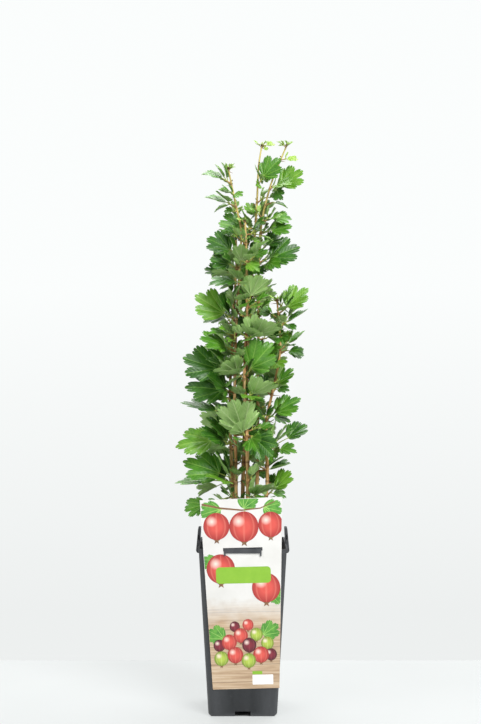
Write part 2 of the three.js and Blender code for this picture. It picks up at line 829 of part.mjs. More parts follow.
/** A side shoot: its woody spur, cut plumb just off the stem's bark, with its leaves fused on. */
function shootSolid(shoot) {
  const { radius, tipRadius, length, sides } = SHOOT;
  const level = heading(shoot.bearing, 0);
  const root = shoot.stemRadius + CLEAR;
  const lean = Math.abs(shoot.lean.dot(level)) * radius;
  const foot = shoot.foot.clone().addScaledVector(level, root + 0.15 + lean);
  const end = shoot.foot.clone().addScaledVector(shoot.out, root + length * shoot.scale + 0.8);
  let made = loft([
    ringRound(foot, level, radius * shoot.scale, sides),
    ringRound(end, shoot.out, tipRadius * shoot.scale, sides),
  ]);
  for (const leaf of shoot.placed) made = made.add(leafSolid(leaf, shoot.scale));
  return welded(made);
}

// ---- The model -------------------------------------------------------------------------------

add("pot", pot(), COLOURS.pot, 0.45);
add("compost", compost(), COLOURS.compost, 0.95);
add("woody_crown", crown(), COLOURS.bark, 0.85);

const paper = new THREE.MeshStandardMaterial({ color: COLOURS.card, roughness: 0.35 });
const card = new THREE.Mesh(label(), paper);
card.name = "label_card";
root.add(card);

for (const [name, stem] of Object.entries(STEMS)) add(`stem_${name}`, stemSolid(stem), COLOURS.bark, 0.8);

placeLeaves();
for (const shoot of shoots)
  add(`leaves_${shoot.name}`, shootSolid(shoot), shoot.leaf < 20 ? COLOURS.young : COLOURS.leaf, 0.55);

export default root;
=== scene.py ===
"""A young gooseberry bush in its deep square pot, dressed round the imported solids.

The bush grows by the same rule as its solids, with finer leaves, stalks, bark and spines. Growth is
worked out in millimetres, and MM turns it into Blender's metres. Bearings are degrees round +Z: 0 is +X,
90 +Y (back), 180 -X (left) and 270 -Y (front).
"""

import itertools
import json
import math

import bmesh
import bpy
import numpy as np
from mathutils import Matrix, Vector, noise

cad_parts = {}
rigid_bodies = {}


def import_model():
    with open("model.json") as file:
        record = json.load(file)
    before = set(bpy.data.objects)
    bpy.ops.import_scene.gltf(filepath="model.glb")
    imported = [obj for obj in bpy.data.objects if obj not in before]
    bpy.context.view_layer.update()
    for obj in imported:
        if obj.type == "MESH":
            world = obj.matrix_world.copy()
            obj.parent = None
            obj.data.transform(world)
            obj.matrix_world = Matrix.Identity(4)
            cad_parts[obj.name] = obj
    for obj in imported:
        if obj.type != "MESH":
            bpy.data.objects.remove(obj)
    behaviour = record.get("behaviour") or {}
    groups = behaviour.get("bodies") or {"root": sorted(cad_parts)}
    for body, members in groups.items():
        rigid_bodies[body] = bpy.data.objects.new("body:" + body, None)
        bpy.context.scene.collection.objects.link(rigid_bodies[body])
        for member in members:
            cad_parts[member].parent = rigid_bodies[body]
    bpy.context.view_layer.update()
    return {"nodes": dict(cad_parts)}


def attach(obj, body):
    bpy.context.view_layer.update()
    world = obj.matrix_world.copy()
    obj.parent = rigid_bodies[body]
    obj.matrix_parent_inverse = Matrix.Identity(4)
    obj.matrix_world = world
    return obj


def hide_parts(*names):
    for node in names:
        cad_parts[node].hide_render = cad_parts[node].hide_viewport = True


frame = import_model()

MM = 0.001
UP = np.array([0.0, 0.0, 1.0])

# ---- Sizes shared with the solids, in millimetres ----

CLEAR = 0.3  # between neighbours that touch
POT = {"height": 205, "foot_half": 42, "rim_half": 53.6, "wall": 1.4, "corner": 9.5, "floor": 7.8}
COMPOST_TOP = 190
CROWN_TOP = 202
STEM_RING = 7.8  # radius of the circle on the crown that the stems stand in
SPUR_LENGTH = 8  # on a full-sized shoot

# The card label: its corners across and up from the middle of its foot, where the foot hangs, how far it
# leans out from upright and is turned askew, in degrees, and its slot.
CARD = {
    "corners": [(-40.4, 0), (40.4, 0), (48.9, 234), (-50.1, 232.2)],
    "thick": 0.5,
    "foot_y": -45.1,
    "foot_z": 35,
    "tilt": 4.2,
    "turn": 1.4,
    "slot_up": 171.36,
}

# Each stem: its place on the crown's circle in degrees, its radii at foot and tip, and its waypoints.
STEMS = {
    "left": (
        210, 2.3, 1.0,
        [(-8, -5, 262), (-10, -8, 410), (-7, -8, 500), (-2, -8, 592), (-9, -9, 628), (-18, -10, 671)],
    ),
    "middle": (
        270, 2.6, 1.2,
        [(6, -19, 262), (5, -23, 335), (2, -22, 410), (5, -21, 480), (5, -19, 545), (3, -17, 606)],
    ),
    "right": (
        330, 2.5, 1.1,
        [(29, 0, 262), (30, 2, 355), (42, 2, 415), (47, 1, 450), (43, 0, 508)],
    ),
    "upper": (
        30, 2.6, 0.9,
        [(17, 11, 262), (19, 12, 384), (20, 10, 484), (22, 6, 590), (34, 3, 649), (55, 0, 702)],
    ),
    "leader": (
        90, 2.8, 0.9,
        [(0, 16, 262), (4, 18, 384), (10, 12, 508), (18, 6, 634), (20, 4, 676), (24, 3, 703)],
    ),
    "back": (
        150, 2.5, 1.1,
        [(-12, 13, 262), (-16, 24, 384), (-12, 28, 480), (-8, 24, 560), (-10, 22, 622)],
    ),
}

# The leafy side shoots: stem, height of the root, bearing, rise, reach, length of the largest leaf, the
# roll of its upper face from the sky towards the outside, and the number of leaves.
SHOOTS = {
    "left_a": ("left", 262, 186, -16, 68, 27, 40, 2),
    "left_b": ("left", 284, 188, 23, 66, 46, 64, 4),
    "left_c": ("left", 280, 180, 12, 74, 46, 14, 3),
    "left_d": ("left", 328, 182, 10, 71, 42, 42, 7),
    "left_e": ("left", 366, 182, 9, 67, 43, 18, 5),
    "left_f": ("left", 394, 190, 7, 59, 44, 64, 4),
    "left_g": ("left", 416, 180, 18, 66, 44, 62, 5),
    "left_h": ("left", 443, 206, 27, 43, 35, 48, 5),
    "left_i": ("left", 464, 200, 8, 30, 22, 30, 5),
    "left_j": ("left", 482, 184, 32, 60, 44, 62, 7),
    "left_k": ("middle", 528, 194, 8, 45, 34, 28, 5),
    "left_l": ("left", 548, 196, 16, 34, 27, 56, 5),
    "left_m": ("left", 564, 188, 24, 40, 33, 56, 5),
    "left_n": ("leader", 598, 192, 4, 46, 36, 60, 7),
    "left_o": ("left", 624, 182, 22, 35, 27, 22, 3),
    "left_p": ("left", 652, 176, 32, 34, 25, 22, 4),
    "right_a": ("right", 263, 6, 42, 44, 29, 44, 5),
    "right_b": ("upper", 294, 342, 6, 45, 34, 16, 5),
    "right_c": ("right", 320, 4, 30, 62, 30, 40, 5),
    "right_d": ("right", 359, 354, 38, 42, 34, 60, 7),
    "right_e": ("right", 391, 4, 58, 35, 26, 48, 5),
    "right_f": ("right", 446, 4, 38, 35, 24, 10, 4),
    "right_g": ("right", 491, 4, 36, 43, 35, 56, 5),
    "right_h": ("right", 474, 352, 38, 38, 27, 14, 7),
    "right_i": ("upper", 556, 2, 20, 54, 37, 62, 5),
    "right_j": ("upper", 570, 10, 36, 31, 23, 50, 4),
    "right_k": ("upper", 592, 350, 14, 34, 27, 56, 7),
    "right_l": ("upper", 607, 356, 14, 38, 24, 44, 5),
    "right_m": ("upper", 648, 356, 22, 47, 32, 62, 7),
    "right_n": ("upper", 684, 350, 2, 19, 14, 40, 4),
    "front_a": ("middle", 258, 318, 40, 44, 33, -12, 4),
    "front_b": ("middle", 340, 314, -30, 42, 32, 52, 5),
    "front_c": ("middle", 333, 230, 60, 61, 48, -36, 4),
    "front_d": ("middle", 386, 318, 24, 50, 37, -24, 7),
    "front_e": ("middle", 412, 324, 48, 55, 43, 94, 5),
    "front_f": ("middle", 410, 222, 34, 48, 37, -34, 5),
    "front_g": ("middle", 458, 324, 22, 52, 37, -26, 7),
    "front_h": ("middle", 500, 308, 58, 46, 34, -28, 5),
    "front_i": ("left", 536, 282, 62, 48, 31, -26, 5),
    "lead_a": ("leader", 652, 328, 54, 38, 28, 92, 7),
    "lead_tip": ("leader", 701, 20, 16, 17, 11, 40, 5),
    "back_a": ("back", 276, 120, 14, 62, 42, 56, 7),
    "back_b": ("leader", 304, 62, 20, 60, 42, 56, 7),
    "back_c": ("back", 344, 126, 24, 52, 42, 56, 7),
    "back_d": ("leader", 376, 84, 20, 52, 42, 56, 7),
    "back_e": ("upper", 424, 46, 24, 58, 42, 56, 7),
    "back_f": ("back", 440, 116, 24, 50, 42, 56, 7),
    "back_g": ("leader", 508, 62, 26, 52, 40, 56, 7),
    "back_h": ("back", 548, 118, 26, 46, 38, 56, 7),
    "back_i": ("leader", 610, 84, 34, 46, 32, 56, 7),
}

# How a shoot's leaves fan out: turn and rise from its heading, and the shares of its reach, of its largest
# leaf and of that leaf's roll.
FAN = [
    (0, 0, 1, 1, 1),
    (52, 12, 0.76, 0.86, 0.9),
    (-54, 2, 0.76, 0.84, 0.7),
    (14, 46, 0.7, 0.78, 1),
    (-28, -34, 0.64, 0.66, 0.8),
    (98, 20, 0.58, 0.62, 1),
    (-96, 36, 0.58, 0.6, 1),
]
STALK_LEAST = 5  # on a full-sized shoot
DROOP, FOLD = 0.16, 0.24  # how far a blade bends down towards its tip and up towards its sides

# Half of a leaf's plain outline, as [along, across] in shares of its length: what its space is tested by.
HALF_OUTLINE = [
    (0.87, 0.16), (0.69, 0.16), (0.78, 0.38), (0.58, 0.48), (0.41, 0.38), (0.3, 0.45), (0.06, 0.28)
]
CROWN_SPACE = {"wide": 84, "lowest": 231, "highest": 709}
CARD_SPACE = {"top": 272, "half": 54, "y": -52}  # the room that leaves leave in front of the label
ROOT_ROOM = {"stems": 9, "leaves": 14}  # how near its root a stalk may pass close to them
STEM_SPAN = 8  # how far up and down from a point the stems are tested

# ---- Small tools ----


def heading(bearing, rise):
    """The unit vector at a bearing and a rise, in degrees."""
    b, r = math.radians(bearing), math.radians(rise)
    return np.array([math.cos(b) * math.cos(r), math.sin(b) * math.cos(r), math.sin(r)])


def norm(v):
    return math.sqrt(v @ v)


def unit(v):
    return v / norm(v)


def clamp(value, low, high):
    return max(low, min(high, value))


def round_from(x, y, radius, a):
    """The point at a distance from (x, y), in the direction of the angle a."""
    return x + radius * math.cos(a), y + radius * math.sin(a)


def hump(values, middle, wide):
    """A smooth rise from 0 to 1 and back round a middle value."""
    return np.exp(-(((values - middle) / wide) ** 2))


def lump(x, y, z, scale):
    """Smooth noise, closer set in x and y by scale."""
    return noise.noise(Vector((x * scale, y * scale, z)))


def band(low, high):
    """The faces between two loops of points, counter-clockwise from above."""
    return [[a, b, d, c] for a, b, c, d in zip(low, low[1:] + low[:1], high, high[1:] + high[:1])]


def loft(levels, n):
    """The faces up through rings of n points, then under the first ring and over the last."""
    rings = [list(range(i * n, i * n + n)) for i in range(levels)]
    sides = [face for low, high in zip(rings, rings[1:]) for face in band(low, high)]
    return [*sides, rings[0][::-1], rings[-1]]


class Dice:
    """A repeatable stream of numbers from 0 to 1."""

    def __init__(self, seed):
        self.state = (seed * 2654435 + 97531) & 0xFFFFFFFF
        for _ in range(4):
            self.next()

    def next(self):
        self.state = (self.state * 1664525 + 1013904223) & 0xFFFFFFFF
        return self.state / 4294967296

    def between(self, low, high):
        return low + (high - low) * self.next()


def plain_mesh(name, points, edges=(), faces=()):
    mesh = bpy.data.meshes.new(name)
    mesh.from_pydata(points, edges, faces)
    return mesh


def shown(name, data):
    """A new object in the scene."""
    made = bpy.data.objects.new(name, data)
    bpy.context.scene.collection.objects.link(made)
    return made


def give(mesh, name, values, kind="FLOAT"):
    """Writes a point attribute, of single numbers or of vectors."""
    field = "value" if kind == "FLOAT" else "vector"
    mesh.attributes.new(name, kind, "POINT").data.foreach_set(field, values)


def settle(piece, slot, *nodes):
    """Fixes a finished piece to the part, in place of the named nodes."""
    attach(piece, "root")
    if nodes:
        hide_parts(*nodes)


# ---- Node trees and materials ----


def rgba(colour):
    """Linear colour from (red, green, blue) bytes."""
    shares = [byte / 255 for byte in colour]
    return (*[c / 12.92 if c <= 0.04045 else ((c + 0.055) / 1.055) ** 2.4 for c in shares], 1.0)


class Nodes:
    """A node tree, built up a node at a time."""

    def __init__(self, tree):
        self.tree = tree

    def join(self, value, socket):
        """Feeds an input from another node's output or with a plain value."""
        if isinstance(value, bpy.types.NodeSocket):
            self.tree.links.new(value, socket)
        else:
            socket.default_value = value

    def add(self, kind, inputs=None, out=0, **settings):
        """Adds a node and gives one of its outputs."""
        node = self.tree.nodes.new(kind)
        for key, value in settings.items():
            setattr(node, key, value)
        for key, value in (inputs or {}).items():
            self.join(value, node.inputs[key])
        return node.outputs[out]

    def calc(self, operation, a, b=0.0):
        return self.add("ShaderNodeMath", {0: a, 1: b}, operation=operation)

    def axes(self, vector):
        return self.add("ShaderNodeSeparateXYZ", {"Vector": vector}).node.outputs

    def vector(self, x, y, z):
        return self.add("ShaderNodeCombineXYZ", {"X": x, "Y": y, "Z": z})

    def between(self, share, low, high, start=0.3, end=0.7):
        """A number from low to high as share runs from start to end."""
        inputs = {"Value": share, "From Min": start, "From Max": end, "To Min": low, "To Max": high}
        return self.add("ShaderNodeMapRange", inputs)

    def mix(self, share, a, b):
        return self.add("ShaderNodeMix", {0: share, 6: a, 7: b}, 2, data_type="RGBA")


class Finish(Nodes):
    """A material, built up round its Principled shader."""

    def __init__(self, name, **sockets):
        self.material = bpy.data.materials.new(name)
        self.material.use_nodes = True
        super().__init__(self.material.node_tree)
        self.shader = self.tree.nodes["Principled BSDF"]
        for socket, value in sockets.items():
            self.shader.inputs[socket.replace("_", " ")].default_value = value
        self.place = self.add("ShaderNodeTexCoord", out="Object")

    def plan(self):
        """Each point's place on its own flat plan."""
        return self.add("ShaderNodeAttribute", out="Vector", attribute_name="plan")

    def distance(self, vector, point=(0, 0, 0)):
        return self.add("ShaderNodeVectorMath", {0: vector, 1: point}, "Value", operation="DISTANCE")

    def noise(self, scale, detail=3.0, roughness=0.55, stretch=None, at=None):
        """Noise over Object coordinates, or over them scaled apart along each axis by stretch."""
        at = at or self.place
        if stretch:
            at = self.add("ShaderNodeMapping", {"Vector": at, "Scale": stretch})
        inputs = {"Vector": at, "Scale": scale, "Detail": detail, "Roughness": roughness}
        return self.add("ShaderNodeTexNoise", inputs)

    def blend(self, share, colours, start=0.3, end=0.7):
        """A colour ramp through evenly spaced colours."""
        made = self.add("ShaderNodeValToRGB", {"Fac": self.between(share, 0, 1, start, end)})
        elements = made.node.color_ramp.elements
        while len(elements) < len(colours):
            elements.new(0.5)
        for i, (element, colour) in enumerate(zip(elements, colours)):
            element.position = i / (len(colours) - 1)
            element.color = rgba(colour)
        return made

    def wear(self, colour, rough, bump=None):
        """The material, given its colour, roughness (share, low, high) and bump (height, mm, strength)."""
        self.join(colour, self.shader.inputs["Base Color"])
        self.join(self.between(*rough), self.shader.inputs["Roughness"])
        if bump:
            height, depth, strength = bump
            inputs = {"Height": height, "Distance": depth * MM, "Strength": strength}
            self.join(self.add("ShaderNodeBump", inputs), self.shader.inputs["Normal"])
        return self.material


BOARD = 0.0215  # width of the printed boards, in metres
BOARDS_TOP = (0.124, 0.158)  # heights, in metres, between which they fade out into the paper
VEIN_STEP = 27  # degrees between a leaf's main veins
SIDE_VEIN_STEP = 0.11  # between a main vein's side veins, as a share of the leaf's length
SATIN = {"Coat_Weight": 0.25, "Coat_Roughness": 0.2}  # the label's coat


def pot_plastic():
    """Charcoal moulded plastic: a fine grain, faint flow marks and handling scuffs."""
    made = Finish("pot_plastic", Specular_IOR_Level=0.45)
    flow = made.noise(1.0, 4, stretch=(90, 90, 16))
    base = made.blend(flow, [(55, 57, 60), (68, 70, 73)])
    scuffs = made.between(made.noise(260, 5, 0.7), 0, 0.35, 0.6, 0.75)
    colour = made.mix(scuffs, base, rgba((98, 100, 102)))
    return made.wear(colour, (flow, 0.42, 0.6), (made.noise(1500, 2), 0.06, 0.5))


def card_ground():
    """The card's own print: off-white above, running out into pale wooden boards below."""
    made = Finish("label_card_ground", **SATIN)
    turn = (0, math.radians(CARD["turn"]), 0)
    turned = made.axes(made.add("ShaderNodeMapping", {"Vector": made.place, "Rotation": turn}))
    level = made.calc("DIVIDE", turned["Z"], BOARD)
    along = made.vector(turned["X"], made.calc("FLOOR", level), turned["Z"])
    grain = made.noise(1.0, 5, 0.6, (22, 5.3, 420), along)
    wood = made.blend(grain, [(158, 130, 102), (188, 162, 132), (206, 186, 160)])
    joint = made.between(made.calc("FRACT", level), 1, 0, 0.0, 0.05)
    boards = made.mix(joint, wood, rgba((112, 88, 68)))
    paper = made.blend(made.noise(30, 3), [(212, 211, 207), (222, 221, 218)])
    height = made.calc("ADD", turned["Z"], made.calc("MULTIPLY", made.noise(60, 3), 0.022))
    colour = made.mix(made.between(height, 0, 1, *BOARDS_TOP), boards, paper)
    return made.wear(colour, (made.noise(500, 2), 0.3, 0.4), (made.noise(900, 2), 0.01, 1.0))


def printed(name, dark, light, scale=90):
    """Flat ink on the card, in two close tones."""
    made = Finish(name, **SATIN)
    return made.wear(made.blend(made.noise(scale, 4), [dark, light]), (made.noise(500, 2), 0.3, 0.4))


def printed_berry(name, rim, body, shine):
    """A printed round berry: stripes from pole to pole, a dark rim and a soft highlight, by its own plan."""
    made = Finish(name, **SATIN)
    calc, around = made.calc, made.plan()
    x, y, _ = made.axes(around)
    girth = calc("SQRT", calc("MAXIMUM", calc("SUBTRACT", 1.0, calc("MULTIPLY", y, y)), 0.02))
    stripe = calc("COSINE", calc("MULTIPLY", calc("ARCSINE", calc("DIVIDE", x, girth)), 9.0))
    skin = made.mix(made.between(made.distance(around), 0, 1, 0.35, 1.0), rgba(body), rgba(rim))
    striped = made.mix(made.between(stripe, 0, 0.3, 0.6, 1.0), skin, rgba(shine))
    highlight = made.between(made.distance(around, (-0.34, 0.36, 0)), 0.85, 0, 0.04, 0.42)
    colour = made.mix(highlight, striped, rgba((250, 226, 214)))
    return made.wear(colour, (made.noise(500, 2), 0.3, 0.4))


def compost_soil(name, dark, light):
    """Moist peat: fibres and crumbs in near black and brown."""
    made = Finish(name, Specular_IOR_Level=0.25)
    crumbs = made.noise(420, 6, 0.65)
    colour = made.blend(crumbs, [dark, light], 0.35, 0.65)
    return made.wear(colour, (crumbs, 0.8, 1), (made.noise(900, 4), 0.5, 1.0))


def stem_bark():
    """Papery bark, straw and tan with red-brown streaks, greener and smoother towards the young tips."""
    made = Finish("stem_bark", Specular_IOR_Level=0.35)
    streaks = made.noise(1.0, 5, 0.65, (700, 700, 45))
    patches = made.noise(1.0, 3, stretch=(160, 160, 30))
    straw = made.blend(streaks, [(138, 94, 48), (202, 160, 100), (230, 204, 156)])
    russet = made.mix(made.between(patches, 0, 0.7, 0.5, 0.68), straw, rgba((122, 70, 36)))
    young = made.blend(streaks, [(168, 160, 84), (204, 196, 118)])
    skin = made.mix(made.between(made.axes(made.place)["Z"], 0, 0.85, 0.5, 0.69), russet, young)
    joint = made.add("ShaderNodeAttribute", out="Fac", attribute_name="joint")
    return made.wear(made.mix(joint, skin, rgba((70, 42, 24))), (streaks, 0.5, 0.78), (streaks, 0.25, 0.8))


def plain_bark(name, dark, light, scale=500):
    """Young wood, stalk or spine: two close tones with a fine grain."""
    made = Finish(name, Specular_IOR_Level=0.4)
    grain = made.noise(scale, 4)
    return made.wear(made.blend(grain, [dark, light]), (grain, 0.4, 0.6), (grain, 0.08, 1.0))


def leaf_skin(name, dark, light, vein, shine):
    """A leaf face: two close greens in soft patches, pale flecks, and veins that the skin swells between."""
    made = Finish(name, Subsurface_Weight=0.12, Subsurface_Scale=0.6 * MM, Specular_IOR_Level=0.42)
    made.shader.inputs["Subsurface Radius"].default_value = (0.8, 1.0, 0.3)
    calc, between, plan = made.calc, made.between, made.plan()
    u, v, _ = made.axes(plan)
    reach = made.distance(plan)
    # Every point lies off the nearest of the main veins, and the side veins run forward from that one.
    off = calc("PINGPONG", calc("ARCTAN2", v, u), math.radians(VEIN_STEP / 2))
    aside, along = calc("MULTIPLY", reach, calc("SINE", off)), calc("MULTIPLY", reach, calc("COSINE", off))
    rung = calc("PINGPONG", calc("SUBTRACT", along, calc("MULTIPLY", aside, 1.1)), SIDE_VEIN_STEP / 2)
    # A side vein thins out before it meets those of the next main vein.
    side = calc("MULTIPLY", between(rung, 0.4, 0, 0.002, 0.013), between(off, 1, 0, 0.11, 0.23))
    veins = calc("MAXIMUM", between(aside, 0.8, 0, 0.005, 0.018), side)
    skin = made.blend(made.noise(55, 4), [dark, light])
    flecks = between(made.noise(650, 3, 0.7), 0, 0.5, 0.66, 0.76)
    flecked = made.mix(flecks, skin, rgba([c + (235 - c) * 0.55 for c in light]))
    net = made.add("ShaderNodeTexVoronoi", {"Vector": made.place, "Scale": 480}, feature="DISTANCE_TO_EDGE")
    swell = calc("ADD", between(rung, 0, 1, 0, 0.045), between(aside, 0, 1.4, 0, 0.05))
    height = calc("ADD", swell, between(net, 0, 0.3, 0, 0.3))
    colour = made.mix(veins, flecked, rgba(vein))
    return made.wear(colour, (made.noise(180, 3), shine, shine + 0.14), (height, 0.16, 0.6))


MATERIALS = {
    "pot": pot_plastic(),
    "card": card_ground(),
    "ink_red": printed_berry("print_berry_red", (156, 42, 40), (212, 82, 72), (230, 138, 120)),
    "ink_wine": printed_berry("print_berry_wine", (62, 12, 26), (122, 28, 46), (172, 78, 90)),
    "ink_lime": printed_berry("print_berry_green", (108, 134, 34), (170, 192, 74), (212, 224, 140)),
    "ink_leaf": printed("print_leaf", (58, 126, 40), (104, 168, 62), 140),
    "ink_vein": printed("print_leaf_vein", (150, 196, 96), (168, 208, 112)),
    "ink_twig": printed("print_twig", (104, 72, 46), (142, 104, 68), 300),
    "ink_panel": printed("print_green_panel", (126, 176, 42), (136, 184, 50)),
    "ink_white": printed("print_white_panel", (240, 240, 238), (248, 248, 246)),
    "compost": compost_soil("compost", (22, 16, 12), (58, 43, 32)),
    "crumb": compost_soil("compost_crumb", (30, 22, 16), (84, 64, 47)),
    "fibre": compost_soil("compost_fibre", (80, 60, 42), (130, 102, 74)),
    "bark": stem_bark(),
    "crown": plain_bark("crown_bark", (58, 42, 30), (128, 98, 68), 260),
    "spur": plain_bark("spur_bark", (120, 80, 42), (176, 140, 84)),
    "stalk": plain_bark("leaf_stalk", (134, 154, 62), (182, 190, 98), 260),
    "spine": plain_bark("spine", (104, 62, 36), (152, 104, 62)),
    "bud": plain_bark("bud", (62, 38, 24), (104, 70, 44)),
    "bud_tip": plain_bark("bud_tip", (150, 176, 60), (190, 208, 92)),
    "deep": leaf_skin("leaf_upper_deep", (22, 68, 6), (56, 110, 20), (100, 146, 54), 0.33),
    "mid": leaf_skin("leaf_upper_mid", (46, 102, 10), (86, 142, 34), (126, 170, 70), 0.35),
    # The bright upper green is partly the leaf's own lighter tone and partly painted glow, standing in for
    # light shining through the leaf.
    "bright": leaf_skin("leaf_upper_bright", (70, 124, 16), (110, 160, 46), (146, 184, 84), 0.36),
    "young": leaf_skin("leaf_upper_young", (116, 158, 42), (148, 184, 66), (172, 200, 96), 0.45),
    "under": leaf_skin("leaf_underside", (124, 162, 84), (156, 190, 114), (180, 206, 142), 0.5),
    "young_under": leaf_skin("leaf_underside_young", (150, 186, 92), (178, 206, 116), (198, 218, 142), 0.6),
    "vein": plain_bark("leaf_vein", (98, 142, 60), (126, 162, 80)),
    "vein_under": plain_bark("leaf_vein_underside", (154, 180, 116), (176, 198, 138)),
}

# ---- Growth rule ----


class Stem:
    """An upright stem: a smooth line through its waypoints, and its radius at each height."""

    def __init__(self, place, foot, tip, way):
        self.foot, self.tip, self.low, self.top = foot, tip, CROWN_TOP + CLEAR, way[-1][2]
        start = (*round_from(0, 0, STEM_RING, math.radians(place)), self.low)
        self.way = [np.array(point, float) for point in (start, *way)]

    def at(self, z):
        """Cubic steps between the waypoints, level with their neighbours."""
        way, i = self.way, 0
        while i < len(way) - 2 and z > way[i + 1][2]:
            i += 1
        a, b = way[i], way[i + 1]
        before, after = way[max(i - 1, 0)], way[min(i + 2, len(way) - 1)]
        span = b[2] - a[2]
        t = (z - a[2]) / span
        t2, t3 = t * t, t * t * t
        slope_a = (b - before) / (b[2] - before[2]) * span
        slope_b = (after - a) / (after[2] - a[2]) * span
        point = (2 * t3 - 3 * t2 + 1) * a + (t3 - 2 * t2 + t) * slope_a + (3 * t2 - 2 * t3) * b
        return np.array([*(point + (t3 - t2) * slope_b)[:2], z])

    def radius(self, z):
        u = clamp((z - self.low) / (self.top - self.low), 0, 1)
        return self.tip + (self.foot - self.tip) * (1 - u) ** 0.85


STEM_LIST = {name: Stem(*row) for name, row in STEMS.items()}


class Shoot:
    """A short side shoot, which carries one spray of leaves."""

    def __init__(self, name, seed, stem, height, bearing, rise, reach, leaf, roll, leaves):
        self.name, self.seed, self.stem, self.zone = name, seed, STEM_LIST[stem], name.split("_")[0]
        self.bearing, self.rise, self.reach = bearing, rise, reach
        self.leaf, self.roll, self.leaves, self.placed = leaf, roll, leaves, []
        self.scale = clamp(reach / 34, 0.35, 1)
        root = min(height, self.stem.top - 0.5)
        self.foot, self.stem_radius = self.stem.at(root), self.stem.radius(root)
        self.out = heading(bearing, clamp(rise, 0, 60))


SHOOT_LIST = [Shoot(name, seed, *row) for seed, (name, row) in enumerate(SHOOTS.items(), 1)]


class Leaf:
    """One leaf of a shoot: where its stalk starts and ends, and how its blade lies."""

    def __init__(self, shoot, order, attempt, loose):
        draw = Dice(shoot.seed * 97 + order * 13 + attempt * 1009).between
        turn, fan_rise, reach, size, roll_share = FAN[order]
        bearing = shoot.bearing + turn + draw(-loose, loose)
        rise = clamp(shoot.rise + fan_rise + draw(-loose, loose), -60, 84)
        self.shoot, self.order = shoot, order
        self.length = shoot.leaf * size * draw(0.94, 1.03) * (1 - 0.012 * attempt)
        out = shoot.stem_radius + CLEAR + SPUR_LENGTH * shoot.scale * (1 - 0.13 * order)
        self.start = shoot.foot + shoot.out * out
        stalk = shoot.reach * reach - norm(self.start - shoot.foot) - self.length
        self.foot = self.start + heading(bearing, rise) * max(STALK_LEAST * shoot.scale, stalk)
        self.along = heading(bearing + draw(-8, 8), rise + draw(-6, 12))
        # The upper face starts towards the sky and rolls towards the outside of the bush.
        level = unit(np.cross(UP, self.along))
        outside = 1 if math.sin(math.radians(bearing)) > 0.35 else -1
        side = float(np.sign(level[1] * outside)) or 1.0
        roll = math.radians(shoot.roll * roll_share + draw(-9, 9)) * side
        self.up = np.cross(self.along, level) * math.cos(roll) + level * math.sin(roll)
        self.across = np.cross(self.up, self.along)
        self.droop, self.fold = DROOP * draw(0.2, 1.8), FOLD * draw(0.2, 1.6)

    def blade(self, u, v, lift=0.0):
        """Points of the blade, from shares of its length along and across."""
        u, v = np.asarray(u, float), np.asarray(v, float)
        rise = self.fold * np.abs(v) - self.droop * u * np.abs(u) + lift
        steps = np.outer(u, self.along) + np.outer(v, self.across) + np.outer(rise, self.up)
        return self.foot + steps * self.length

    def samples(self):
        """The points that stand for the blade and the stalk where their space is tested."""
        gap = self.foot - self.start
        steps = max(1, math.floor(norm(gap) / 3 + 0.5))
        stalk = self.start + np.outer(np.arange(steps) / steps, gap)
        return np.vstack([self.foot[None], self.blade(SAMPLE_U, SAMPLE_V)]), stalk


def outline_samples():
    """Points across the plain outline, as two lists of shares."""
    outline = [(1, 0), *HALF_OUTLINE, *[(u, -v) for u, v in reversed(HALF_OUTLINE)]]
    points = [
        ((u + (to_u - u) * step) * share, (v + (to_v - v) * step) * share)
        for (u, v), (to_u, to_v) in zip(outline, outline[1:] + outline[:1])
        for share in (0.32, 0.52, 0.7, 0.86, 1)
        for step in (0, 1 / 3, 2 / 3)
    ]
    return np.array(points).T


SAMPLE_U, SAMPLE_V = outline_samples()


class Crowd:
    """The points of every placed leaf, kept by the cube of space that each lies in."""

    def __init__(self, size):
        self.size, self.cubes = size, {}

    def located(self, points):
        """Each point with its cube."""
        return zip(points.tolist(), np.floor(points / self.size).astype(int).tolist())

    def add(self, points, shoot):
        for point, cube in self.located(points):
            self.cubes.setdefault(tuple(cube), []).append((*point, shoot))

    def clear(self, points, shoot, within, between):
        """Whether all the points keep their distance from those of the other leaves."""
        for (x, y, z), (i, j, k) in self.located(points):
            for a, b, c in itertools.product((i - 1, i, i + 1), (j - 1, j, j + 1), (k - 1, k, k + 1)):
                for px, py, pz, owner in self.cubes.get((a, b, c), ()):
                    gap = within if owner is shoot else between
                    if (x - px) ** 2 + (y - py) ** 2 + (z - pz) ** 2 < gap * gap:
                        return False
        return True


CROWD = Crowd(3.3)

# Points and radii along every stem, 5 mm apart.
STEM_LINE = np.array(
    [[*stem.at(z), stem.radius(z)] for stem in STEM_LIST.values() for z in range(CROWN_TOP, stem.top, 5)]
)


def in_open_space(blade, stalk, gap):
    """Whether a leaf stays in the crown's space and clear of the pot, the label and the stems."""
    x, y, z = blade.T
    low, high = CROWN_SPACE["lowest"], CROWN_SPACE["highest"]
    if (np.hypot(x, y) > CROWN_SPACE["wide"]).any() or z.min() < low or z.max() > high:
        return False
    if ((z < CARD_SPACE["top"]) & (np.abs(x) < CARD_SPACE["half"]) & (y < CARD_SPACE["y"])).any():
        return False
    away = np.vstack([blade, stalk])[:, None, :] - STEM_LINE[None, :, :3]
    near = np.sqrt((away**2).sum(2)) <= STEM_LINE[None, :, 3] + gap
    return not (near & (np.abs(away[:, :, 2]) <= STEM_SPAN)).any()


